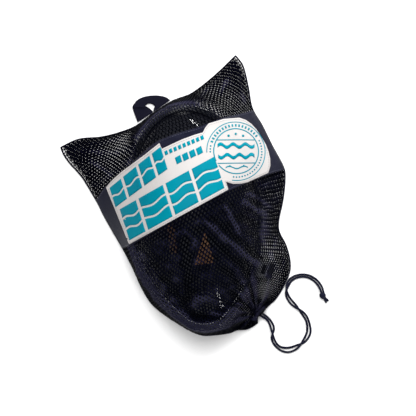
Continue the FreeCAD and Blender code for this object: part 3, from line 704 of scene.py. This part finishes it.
# ---- bag: net panels, fabric band
def solid_sheet(name, upper, thickness, material):
    """Closed sheet between a grid of points and the same grid moved down its normals."""
    normals = sheet_normals(upper)
    lower = upper - normals * thickness
    rows, cols = upper.shape[:2]
    verts = np.vstack([upper.reshape(-1, 3), lower.reshape(-1, 3)])
    top = grid_quads(rows, cols)
    low = top[:, ::-1] + rows * cols
    edge = border(np.arange(rows * cols).reshape(rows, cols))
    nxt = np.roll(edge, -1)
    rim = np.stack([nxt, edge, edge + rows * cols, nxt + rows * cols], axis=1)
    return outward(new_mesh(name, verts, np.vstack([top, low, rim]), material))


REAR_LOOK = dict(thick=0.45, slip=(2.2, 1.3), hole_size=(1.45, 1.8))
REAR_JOIN = 190.0  # the rear net is made as two meshes that meet here
COVER = 0.5  # the band's upper face over the net's middle
PLEAT_END, PLEAT_SIDE = 238.0, 232.0  # where the pleat stops below, and where it starts across
upper_net = net_piece("net_upper", front, 0, KEY_T[1], net)
lower_net = net_piece("net_lower", front, KEY_T[2], KEY_T[5], net)
rear_near = net_piece("net_rear_upper", rear, 0, REAR_JOIN, net, **REAR_LOOK)
rear_far = net_piece("net_rear_lower", rear, REAR_JOIN, KEY_T[5], net, **REAR_LOOK)
band_rows = slice(int(KEY_T[1] / STEP), int(KEY_T[2] / STEP) + 1)
band_sheet = front[band_rows] + sheet_normals(front)[band_rows] * COVER
band = solid_sheet("fabric_band", band_sheet, 0.7, band_cloth)

# ---- label: a flat patch laid over the band
LABEL = [
    (-107.5, 53.5), (-97, 62.5), (-84, 71), (-70, 78.5), (-52, 88.5), (-33, 100), (-30.5, 92.5), (-5, 101),
    (12, 105.2), (22.5, 107), (26, 112.5), (31, 117.5), (50, 121.3), (70.5, 121.5), (78.5, 118), (85, 112.5),
    (91, 104.5), (96, 94.5), (100.5, 84.5), (103, 74.5), (103.8, 66), (103, 57), (99, 48), (82, 42.5),
    (71, 39), (63, 38), (53, 38.7), (44, 42.5), (46, 32.5), (13, 19), (-20, 5.5), (-53, -8), (-86, -21.5)]


def patch_arrays(outline, lift, thickness, spacing=3.0, holes=()):
    """Vertices and triangles of a closed patch over the front panel, from its outline in plan."""
    loops = [np.array(outline, float)] + [np.array(h, float) for h in holes]
    points, edges = [], []
    for loop in loops:
        closed = np.vstack([loop, loop[:1]])
        start = len(points)
        for a, b in zip(closed, closed[1:]):
            cuts = max(1, int(math.ceil(norm(b - a) / spacing)))
            points += [a + (b - a) * k / cuts for k in range(cuts)]
        count = len(points) - start
        edges += [(start + k, start + (k + 1) % count) for k in range(count)]
    low, high = loops[0].min(0), loops[0].max(0)
    gx, gy = np.meshgrid(np.arange(low[0], high[0], spacing), np.arange(low[1], high[1], spacing))
    grid = np.stack([gx.ravel(), gy.ravel()], axis=1)
    keep = within(grid, loops)
    rim = np.array(points)
    grid = grid[keep]
    if len(grid):
        gap = np.min(norm(grid[:, None] - rim[None], axis=2), axis=1)
        grid = grid[gap > spacing * 0.45]
    everything = [Vector(p) for p in points] + [Vector(p) for p in grid]
    verts, _, faces, *_ = delaunay_2d_cdt(everything, edges, [], 1, 1e-6)
    verts = np.array([[v.x, v.y] for v in verts])
    faces = np.array([f for f in faces if len(f) == 3])
    faces = faces[within(verts[faces].mean(axis=1), loops)]
    top = np.column_stack([verts, cover_at(verts) + lift])
    low = top - np.array([0, 0, thickness])
    count = len(verts)
    pairs = np.vstack([faces[:, [0, 1]], faces[:, [1, 2]], faces[:, [2, 0]]])
    key = np.sort(pairs, axis=1)
    _, back, times = np.unique(key, axis=0, return_inverse=True, return_counts=True)
    rims = pairs[times[back.ravel()] == 1]
    side = np.vstack([np.column_stack([rims[:, 0], rims[:, 0] + count, rims[:, 1]]),
                      np.column_stack([rims[:, 1], rims[:, 0] + count, rims[:, 1] + count])])
    return np.vstack([top, low]), np.vstack([faces, faces[:, ::-1] + count, side])


def within(points, loops):
    """Which points lie in the first loop and in none of the others."""
    keep = inside(points, loops[0])
    for hole in loops[1:]:
        keep &= ~inside(points, hole)
    return keep


def closed_mesh(name, pieces, material, smooth=True):
    """One object from several (vertices, faces) pieces, with its normals facing out."""
    verts, faces, base = [], [], 0
    for v, f in pieces:
        verts.append(v)
        faces.append(f + base)
        base += len(v)
    return outward(new_mesh(name, np.vstack(verts), np.vstack(faces), material, smooth))


band_map = None


def cover_at(points):
    """Height of the band's upper face at plan points."""
    return drape.read(points, band_map)


def map_sheet(sheet):
    """Height map of a sheet, from its own points."""
    tree_verts = [Vector(p) for p in sheet.reshape(-1, 3)]
    tree = BVHTree.FromPolygons(tree_verts, grid_quads(*sheet.shape[:2]).tolist())
    grid = drape.z.copy()
    for i, j in np.argwhere(drape.z > -1):
        hit = tree.ray_cast(Vector((drape.x[i, j], drape.y[i, j], RAY_TOP)), DOWN)
        if hit[0] is not None:
            grid[i, j] = hit[0].z
    return grid


pleat_sheet = front * 0.3 + rear * 0.7
pleat = net_piece("net_pleat", pleat_sheet, KEY_T[2], PLEAT_END, net, thick=0.4, slip=(1.3, 2.4),
                  run=(PLEAT_SIDE, WIDTH))
band_map = map_sheet(front + sheet_normals(front) * COVER)
RELIEF_ROUNDS = 26  # rounds of smoothing that give a point's surroundings
RELIEF_HIGH = 3.6  # how far a ridge stands over them per unit of relief


def paint_relief_shade(obj, grid):
    """Stores how far each point stands over its surroundings, from 0 in a hollow to 1 on a ridge, lowered
    over the mask's top; the net's colour turns it into painted shade and highlight.
    """
    soft = grid.copy()
    for _ in range(RELIEF_ROUNDS):
        near = np.roll(soft, 1, 0), np.roll(soft, -1, 0), np.roll(soft, 1, 1), np.roll(soft, -1, 1)
        soft = (soft + near[0] + near[1] + near[2] + near[3]) / 5
    places = np.zeros(len(obj.data.vertices) * 3)
    obj.data.vertices.foreach_get("co", places)
    plan = places.reshape(-1, 3)[:, :2] / MM
    over = drape.read(plan, grid) - drape.read(plan, soft)
    # painted shade and highlight: ridges lighter, hollows darker, and the mask's top darkened through crown
    value = np.clip((0.37 + over / RELIEF_HIGH) * (1 - 0.7 * crown(plan)), 0.0, 1)
    obj.data.attributes.new("relief_shade", "FLOAT", "POINT").data.foreach_set("value", value.astype(np.float32))


# painted shade and highlight on the net from its folds; the rear pieces get only the painted darkening over
# the mask's top
front_map = map_sheet(front)
for obj in (upper_net, lower_net):
    paint_relief_shade(obj, front_map)
for obj in (rear_near, rear_far, pleat):
    paint_relief_shade(obj, np.zeros(drape.shape))
label = closed_mesh("label_cloth", [patch_arrays(LABEL, 0.9, 0.8, 2.0)], label_cloth)

# ---- print on the label: plain wave blocks and a ringed badge, no lettering
LABEL_CORNER = np.array([-86.0, -21.5])
LEAN = 0.197  # how far the blocks lean, per unit of height


def on_label(x, y):
    """Plan place for a place measured along and up from the label's lower left corner."""
    return turned(x, y, LABEL_CORNER, LABEL_TILT)


def wave_block(left, right, low, high, slots, phase, swing=1.7, gap=2.4):
    """Leaning block cut into wavy bars; low and high give its lower and upper edge at a place along it."""
    x = np.linspace(left, right, 14)
    wave = swing * np.sin((x - left) / (right - left) * 2 * math.pi + phase)
    bars = []
    for k in range(slots + 1):
        a, b = k / (slots + 1), (k + 1) / (slots + 1)
        base, top = low(x), high(x)
        under = base + (top - base) * a + (wave + gap / 2 if k else 0)
        over = base + (top - base) * b + (wave - gap / 2 if k < slots else 0)
        lower = on_label(x + LEAN * under, under)
        upper = on_label(x + LEAN * over, over)
        bars.append(np.vstack([lower, upper[::-1]]))
    return bars


def flat_line(level, slope=0.0, start=0.0):
    return lambda x: level + slope * (x - start)


art = []
for left, right, phase, slots in ((2, 26, 0.4, 2), (30, 65, 2.0, 2), (69, 102, 3.6, 2), (106, 138.5, 5.2, 2)):
    art += wave_block(left, right, flat_line(4.2), flat_line(44.5), slots, phase)
for left, right, phase in ((-2.5, 15.5, 1.2), (19, 39, 2.9), (42.5, 60, 4.5), (63.5, 77, 0.3)):
    art += wave_block(left, right, flat_line(49.6, 0.12, 0), flat_line(75.0, 0.165, 0), 1, phase, 1.4, 2.2)
for k in range(9):
    at_x = 79.5 + 6.15 * k
    art += wave_block(at_x, at_x + 4.2, flat_line(74.9 - 0.62 * k), flat_line(80.1 - 0.62 * k), 0, 0)
for k in range(4):
    at_x = 90.0 + 9.6 * k
    art += wave_block(at_x, at_x + 7.6, flat_line(58.2 - 0.9 * k), flat_line(66.8 - 0.9 * k), 0, 0)

BADGE = np.array([61.6, 79.4])
BADGE_TILT = math.radians(-5.2)


def on_badge(x, y):
    return turned(x, y, BADGE, BADGE_TILT)


def arc_strip(radius, width, start, end):
    turn = np.radians(np.linspace(start, end, max(8, int(abs(end - start) / 4))))
    radii = radius + width / 2, radius - width / 2
    outer, inner = [on_badge(r * np.cos(turn), r * np.sin(turn)) for r in radii]
    return np.vstack([outer, inner[::-1]])


def bar(x0, x1, level, width, swing=0.0, waves=0.0, phase=0.0):
    x = np.linspace(x0, x1, 30)
    y = level + swing * np.sin(waves * 2 * math.pi * (x - x0) / (x1 - x0) + phase)
    return np.vstack([on_badge(x, y - width / 2), on_badge(x[::-1], y[::-1] + width / 2)])


def dot(x, y, radius):
    turn = np.linspace(0, 2 * math.pi, 9)[:-1]
    return on_badge(x + radius * np.cos(turn), y + radius * np.sin(turn))


art += [arc_strip(37.0, 1.1, -100, 182), arc_strip(28.4, 1.4, -142, 205)]
art += [bar(-24.6, 24.6, 14.2, 1.2), bar(-24.0, 24.0, -15.2, 1.2)]
art += [bar(-23.5, 23.5, 6.9, 4.6, 2.1, 3.0), bar(-23.0, 23.0, -6.3, 4.6, 2.1, 3.0, math.pi)]
art += [bar(-14.0, 14.0, -20.6, 1.7, 1.5, 1.5), dot(-8.5, -16.9 - 1.2, 0.8), dot(9, -18.3, 1.1)]
art += [dot(-9.2, 19.4, 1.7), dot(0, 21.6, 1.7), dot(9.2, 19.4, 1.7)]
RING_R, DASH_ARC, DOT_ARC = 32.7, 7.6, 6.4  # the badge's middle ring, and its marks' spacing in degrees
for k in range(17):
    middle = 158 - DASH_ARC * k
    art.append(arc_strip(RING_R, 3.4, middle - 1.9, middle + 1.9))
for degrees in [24 - DOT_ARC * k for k in range(20)] + [168 + DOT_ARC * k for k in range(3)]:
    turn = math.radians(degrees)
    art.append(dot(RING_R * math.cos(turn), RING_R * math.sin(turn), 1.1))
label_art = closed_mesh("label_print", [patch_arrays(shape, 1.16, 0.3, 2.4) for shape in art], teal)


# ---- stitching
def stitch_run(line, normals, length=2.2, gap=1.3, width=0.5, height=0.3, lift=0.05):
    """Boxes for the stitches along a line of points."""
    run = run_along(line)
    pieces = []
    cube = np.array([[0, 2, 6, 4], [1, 5, 7, 3], [0, 4, 5, 1], [2, 3, 7, 6], [0, 1, 3, 2], [4, 6, 7, 5]])
    for begin in np.arange(0.4, run[-1] - length, length + gap):
        ends = [read_line(line, run, v) for v in (begin, begin + length)]
        up = read_line(normals, run, begin)
        up /= norm(up)
        across = np.cross(up, ends[1] - ends[0])
        across *= width / 2 / (norm(across) + 1e-9)
        corners = [end + side * across + up * (lift + rise) for end in ends for side in (-1, 1)
                   for rise in (-height / 2, height / 2)]
        pieces.append((np.array(corners), cube))
    return pieces


def inset(loop, by):
    """A closed loop moved inwards."""
    loop = np.array(loop, float)
    before, after = np.roll(loop, 1, axis=0), np.roll(loop, -1, axis=0)
    way = after - before
    way /= norm(way, axis=1)[:, None]
    inward = np.stack([way[:, 1], -way[:, 0]], axis=1)
    return loop + inward * by


label_edge = inset(LABEL, 2.0)
label_edge = even(np.vstack([label_edge, label_edge[:1]]), 500)
label_line = np.column_stack([label_edge, cover_at(label_edge) + 1.0])
up = np.tile([0.0, 0.0, 1.0], (len(label_line), 1))
label_thread = closed_mesh("label_stitches", stitch_run(label_line, up, 2.4, 0.9, 0.35, 0.25), thread_grey,
                           False)
band_normals = sheet_normals(band_sheet)
band_thread = closed_mesh("band_stitches", stitch_run(band_sheet[1], band_normals[1])
                          + stitch_run(band_sheet[-2], band_normals[-2]), thread_dark, False)


# ---- tubes, bindings and webbing
def frames_along(path):
    """Sideways and up vectors along a path, without twist."""
    way = np.gradient(path, axis=0)
    way /= norm(way, axis=1)[:, None]
    side = np.cross([0, 0, 1.0], way)
    side /= norm(side, axis=1)[:, None] + 1e-9
    return side, np.cross(way, side)


def swept(path, section, closed=False, scale=None):
    """Vertices and faces of a section swept along a path; the section holds (sideways, up) places."""
    path = np.asarray(path, float)
    side, up = frames_along(np.vstack([path[-2:], path, path[:2]]) if closed else path)
    if closed:
        side, up = side[2:-2], up[2:-2]
    scale = np.ones(len(path)) if scale is None else np.asarray(scale)
    verts = (path[:, None] + scale[:, None, None] * (section[None, :, :1] * side[:, None]
             + section[None, :, 1:] * up[:, None])).reshape(-1, 3)
    faces = ring_quads(len(section), len(path), closed)
    if closed:
        return verts, faces
    return with_fans(verts, faces, len(section), [(row, path[row]) for row in (0, len(path) - 1)])


def swept_mesh(name, parts, material):
    """One object from swept parts, with its end fans made into triangles."""
    bm = bmesh.new()
    made = [bm.verts.new(Vector(v) * MM) for v in np.vstack([v for v, _ in parts])]
    base = 0
    for v, f in parts:
        for face in f:
            ids = dict.fromkeys(int(i) + base for i in face)
            bm.faces.new([made[i] for i in ids]).smooth = True
        base += len(v)
    bmesh.ops.recalc_face_normals(bm, faces=bm.faces)
    return from_bmesh(name, bm, material)


def oval(width, height, count=12):
    turn = 2 * math.pi * np.arange(count) / count
    return np.stack([width / 2 * np.cos(turn), height / 2 * np.sin(turn)], axis=1)


seam_path = border(front)
seam_path = even(np.vstack([seam_path, seam_path[:1]]), 700)[:-1]
seam_path[:, 2] = np.maximum(seam_path[:, 2] - 0.6, 1.0)
binding = swept_mesh("seam_binding", [swept(seam_path, oval(2.2, 1.3, 8), closed=True)], binding_cloth)

# ---- gathered hem
HEM_FROM, HEM_TO, HEM_Z, HEM_R = (57.5, -113.5), (69.5, -129.5), 10.2, 8.6


def fluted_hem():
    start, end = np.array([*HEM_FROM, HEM_Z - 1.5]), np.array([*HEM_TO, HEM_Z - 3.4])
    way = (end - start) / norm(end - start)
    side = np.cross(way, [0, 0, 1.0])
    side /= norm(side)
    up = np.cross(side, way)
    around, along = 96, 14
    turn = 2 * math.pi * np.arange(around) / around
    flutes = 0.5 + 0.5 * np.cos(11 * turn + 1.2 * np.sin(2 * turn))
    rings = []
    for k in range(along):
        t = k / (along - 1)
        size = 0.62 + 0.34 * t - 0.14 * math.sin(math.pi * t)
        r = HEM_R * size * (1 - 0.26 * flutes)
        place = start + (end - start) * t + 1.2 * math.sin(5 * t) * side
        rings.append(place + np.outer(r * np.cos(turn), side) + np.outer(0.78 * r * np.sin(turn), up))
    last = along - 1
    ends = [(0, rings[0].mean(0)), (last, rings[last].mean(0) - 2.2 * way)]
    return with_fans(np.vstack(rings), ring_quads(around, along), around, ends)


hem = swept_mesh("hem_gathers", [fluted_hem()], net)

# ---- knot: two turns of cord with two short tails
CORD_R = 1.4
KNOT = np.array([150.5, -115.3, 4.5])
KNOT_TAILS = [(157.0, -122.8, 1.5), (154.2, -124.6, 1.5)]


def knot_parts():
    cord = oval(2 * CORD_R, 2 * CORD_R)
    turn = np.linspace(0, 2 * math.pi, 73)[:-1]
    loop = np.stack([np.sin(turn) + 2 * np.sin(2 * turn), np.cos(turn) - 2 * np.cos(2 * turn),
                     -0.95 * np.sin(3 * turn)], axis=1)
    parts = [swept(KNOT + loop, cord, closed=True)]
    core = np.linspace(-1, 1, 9)
    body = KNOT + np.column_stack([0.05 * core, 3.6 * core, 0 * core])
    parts.append(swept(body, oval(8.2, 7.8, 14), scale=np.sqrt(np.clip(1.05 - core**2, 0.05, 1))))
    t = np.linspace(0, 1, 8)[:, None]
    for end in KNOT_TAILS:
        line = (KNOT - [0, 0, 0.6]) * (1 - t) + np.array(end) * t
        line[:, 2] = np.maximum(line[:, 2], CORD_R)
        parts.append(swept(line, cord))
    return parts


knot = swept_mesh("cord_knot", knot_parts(), cord_cloth)

# ---- carry loop: a folded strip of webbing
RIBBON_ROWS = 60


def ribbon(outer, inner, z, thickness):
    """Flat strip between an outer and an inner edge, rounded at its rims."""
    outer, inner = smooth_line(outer, RIBBON_ROWS), smooth_line(inner, RIBBON_ROWS)
    share = np.array([0.0, 0.05, 0.2, 0.5, 0.8, 0.95, 1.0])
    edge = np.array([0.35, 0.8, 1.0, 1.0, 1.0, 0.8, 0.35])
    plan = outer[:, None] * (1 - share)[None, :, None] + inner[:, None] * share[None, :, None]
    z = np.asarray(z(np.linspace(0, 1, RIBBON_ROWS)))[:, None] * np.ones(len(share))[None]
    top = np.dstack([plan, z + thickness / 2 * edge])
    low = np.dstack([plan, z - thickness / 2 * edge])
    ring = np.concatenate([top, low[:, ::-1]], axis=1)
    m = ring.shape[1]
    faces = [ring_quads(m, RIBBON_ROWS)]
    for a in (0, (RIBBON_ROWS - 1) * m):
        faces += [np.array([[a + j, a + j + 1, a + m - 2 - j, a + m - 1 - j]]) for j in range(m // 2 - 1)]
    return ring.reshape(-1, 3), np.vstack(faces)


LOOP_OUTER_A = [(-58.5, 131.5), (-61.5, 142.5), (-62.9, 152.0), (-59.5, 156.8)]
LOOP_INNER_A = [(-37.0, 142.3), (-40.0, 146.2), (-44.5, 150.2), (-47.5, 151.3)]
LOOP_OUTER_B = [
    (-62.7, 151.0), (-58.5, 157.8), (-51.5, 161.9), (-41.5, 163.6), (-29.5, 162.8), (-19.5, 159.6),
    (-13.9, 154.9)]
LOOP_INNER_B = [
    (-46.8, 148.9), (-44.8, 152.9), (-41.2, 153.7), (-37.6, 152.6), (-34.8, 149.6), (-36.3, 146.2),
    (-37.3, 142.2)]
leg = ribbon(LOOP_OUTER_A, LOOP_INNER_A, lambda t: 1.25 - 0.2 * t, 1.0)
arch = ribbon(LOOP_OUTER_B, LOOP_INNER_B, lambda t: 2.5 - 1.0 * t, 1.0)
carry = swept_mesh("carry_webbing", [leg, arch], webbing)

# ---- drawstring
LIE = 1.45  # height of the cord's middle at the points that give none
STRAND_A = [
    (68.4, -130.9, 3.9), (72.6, -134.2, 2.6), (76.9, -138.2, 1.5), (79.2, -143.4), (80.2, -149.2, 1.5),
    (80.9, -153.0, 3.5), (81.6, -156.8, 4.5), (82.3, -161.0, 3.5), (83.5, -166.0, 1.5), (85.9, -170.6),
    (89.3, -174.2), (94.5, -176.0), (100.6, -176.5), (106.6, -175.5), (111.3, -174.3), (115.7, -173.6),
    (121.2, -171.7), (125.8, -167.5), (129.6, -161.9), (130.6, -156.0), (130.1, -150.0), (129.2, -144.5),
    (127.6, -139.1, 1.5), (124.0, -133.7, 3.5), (118.4, -128.9, 4.5), (113.1, -125.3, 3.5),
    (108.6, -120.8, 1.5), (105.7, -115.4), (103.8, -109.0), (105.3, -102.9), (109.0, -97.4), (112.4, -92.6),
    (117.1, -89.8), (122.6, -88.5), (128.7, -88.4), (134.9, -90.2), (140.6, -94.1, 1.5), (145.2, -99.5, 1.6),
    (148.0, -105.3, 2.6), (149.0, -109.6, 3.5), (149.2, -112.25, 3.8)]
STRAND_B = [
    (71.2, -128.7, 3.9), (74.9, -131.9, 2.6), (79.2, -136.3, 1.5), (82.4, -141.6), (84.3, -147.2),
    (83.8, -152.2), (81.4, -156.7), (79.4, -161.2), (80.3, -167.0), (83.1, -172.2), (86.8, -176.6),
    (92.0, -180.6), (99.2, -182.4), (106.4, -180.9, 1.5), (111.4, -178.0, 3.5), (115.7, -174.0, 4.5),
    (118.9, -169.6, 3.5), (122.2, -165.0, 1.5), (125.3, -160.0), (126.4, -155.1), (126.6, -149.6),
    (126.0, -144.4), (124.0, -140.0), (121.3, -135.2), (118.4, -129.0), (115.5, -123.2), (111.8, -118.2),
    (108.6, -113.2, 1.5), (106.6, -108.2, 3.5), (105.3, -102.9, 4.5), (106.2, -96.4, 3.5),
    (110.2, -90.2, 1.5), (115.6, -86.9), (122.2, -85.4), (129.2, -85.4), (136.4, -87.4), (143.0, -91.7, 1.5),
    (148.0, -97.6, 1.6), (151.2, -104.2, 2.6), (152.0, -109.2, 3.5), (152.1, -112.25, 3.8)]


def strand(name, points):
    curve = bpy.data.curves.new(name, "CURVE")
    curve.dimensions = "3D"
    spline = curve.splines.new("NURBS")
    spline.points.add(len(points) - 1)
    for point, (x, y, *z) in zip(spline.points, points):
        point.co = (x * MM, y * MM, (z[0] if z else LIE) * MM, 1)
    spline.order_u = 3
    spline.use_endpoint_u = True
    spline.resolution_u = 10
    curve.bevel_depth = CORD_R * MM
    curve.bevel_resolution = 4
    curve.use_fill_caps = True
    return placed(name, curve, cord_cloth)


cord_a, cord_b = strand("cord_a", STRAND_A), strand("cord_b", STRAND_B)

# ---- harness straps: each gets extra rows of points near its sewn loop, the rest stays under the mask
CUFF = 4.2  # a strap's points over this height belong to its sewn loop


def strap_piece(side):
    """The strap's shape with extra rows of points near its loop, between the mask and the clip."""
    source = nodes["harness_strap_" + side]
    bm = bmesh.new()
    bm.from_mesh(source.data)
    bm.transform(source.matrix_world)
    points = np.array([v.co for v in bm.verts]) / MM
    cuff = points[points[:, 2] > CUFF]
    loop_at = (cuff.max(0) + cuff.min(0)) / 2
    reach = norm(points[:, :2] - loop_at[:2], axis=1)
    far = points[reach > reach.max() - 3].mean(0)
    inward = np.array([far[0] - loop_at[0], far[1] - loop_at[1], 0])
    inward /= norm(inward)
    for away in np.arange(4, 19, 1.5):
        place = (loop_at + inward * away) * MM
        geometry = bm.verts[:] + bm.edges[:] + bm.faces[:]
        bmesh.ops.bisect_plane(bm, geom=geometry, plane_co=Vector(place), plane_no=Vector(inward))
    obj = from_bmesh("strap_" + side, bm, elastic)
    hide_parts("harness_strap_" + side)
    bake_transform(obj)


for side in CORNERS:
    strap_piece(side)

# ---- visor bezel: its upper edges are rounded, so each catches a thin line of light
BEZEL_ROUND = 1.8  # radius of the rounding
FLAT, SKEW = math.radians(12), math.radians(80)  # triangles flatter than this are joined into quads
SHARP, UPWARD = math.radians(45), 0.7  # edges this sharp beside an upward face are rounded


def rounded_bezel():
    """The bezel's shape with its outer and inner upper edges rounded."""
    source = nodes["visor_bezel"]
    bm = bmesh.new()
    bm.from_mesh(source.data)
    bm.transform(source.matrix_world)
    bmesh.ops.remove_doubles(bm, verts=bm.verts, dist=1e-6)
    bmesh.ops.join_triangles(bm, faces=bm.faces, angle_face_threshold=FLAT, angle_shape_threshold=SKEW)
    bm.normal_update()
    upper = [e for e in bm.edges if len(e.link_faces) == 2 and e.calc_face_angle() > SHARP
             and max(f.normal.z for f in e.link_faces) > UPWARD]
    made = bmesh.ops.bevel(bm, geom=upper, offset=BEZEL_ROUND * MM, offset_type="OFFSET", segments=5,
                           profile=0.5, affect="EDGES", clamp_overlap=False)
    rounded = set(made["faces"])
    for face in bm.faces:
        face.smooth = face in rounded
    obj = from_bmesh("bezel_rounded", bm, looks["bezel"])
    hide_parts("visor_bezel")
    return obj


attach(rounded_bezel(), "root")

# ---- everything rides on its body
for obj in (upper_net, lower_net, rear_near, rear_far, pleat, band, band_thread, label, label_art,
            label_thread, binding, hem, knot, cord_a, cord_b):
    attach(obj, "root")
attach(carry, "loop")
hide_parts("bag_front_net_upper")
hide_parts("bag_front_net_lower")
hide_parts("bag_rear_net")
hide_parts("bag_band")
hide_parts("label_patch")
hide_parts("mouth_hem")
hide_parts("drawstring_knot")
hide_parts("drawstring_a")
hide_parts("drawstring_b")
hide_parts("carry_loop")

# ---- floor, light and camera
bpy.ops.mesh.primitive_plane_add(size=12, location=(0, 0, -0.0006))
floor = bpy.context.object
floor.name = "floor"
paper = Nodes("floor_paper")
paper.colour(paper.cloud(3, 2, (0.93, 0.93, 0.93), (0.95, 0.95, 0.95)))
paper.rough(paper.noise(40, 2), 0.85, 0.95)
paper.set(Specular_IOR_Level=0.1)
floor.data.materials.append(paper.material)

world = bpy.data.worlds.new("studio")
world.use_nodes = True
background = world.node_tree.nodes["Background"].inputs
background[0].default_value = (1, 1, 1, 1)
background[1].default_value = 0.58
bpy.context.scene.world = world


def area_light(name, place, size, power, aim=(0, 0, 0)):
    light = bpy.data.lights.new(name, "AREA")
    light.shape = "RECTANGLE"
    light.size, light.size_y = size
    light.energy = power
    obj = placed(name, light)
    obj.location = place
    obj.rotation_euler = (Vector(aim) - Vector(place)).to_track_quat("-Z", "Y").to_euler()


area_light("key", (0.85, 0.95, 1.35), (0.4, 0.4), 9)
area_light("over", (0.0, 0.75, 2.2), (0.95, 0.95), 42)
area_light("strip_near", (0.55, -1.05, 0.42), (0.08, 0.5), 3)
area_light("strip_far", (0.40, 1.10, 0.5), (0.35, 0.05), 5)
area_light("rim", (0.35, 1.25, 0.16), (0.5, 0.05), 5)

camera = placed("camera", bpy.data.cameras.new("camera"))
camera.data.lens = 250
camera.data.sensor_width = 36
camera.location = (0.0181, 0.0126, 3.69)
camera.rotation_euler = (0, 0, math.radians(-6.6))
bpy.context.scene.camera = camera
bpy.context.scene.view_settings.view_transform = "Standard"
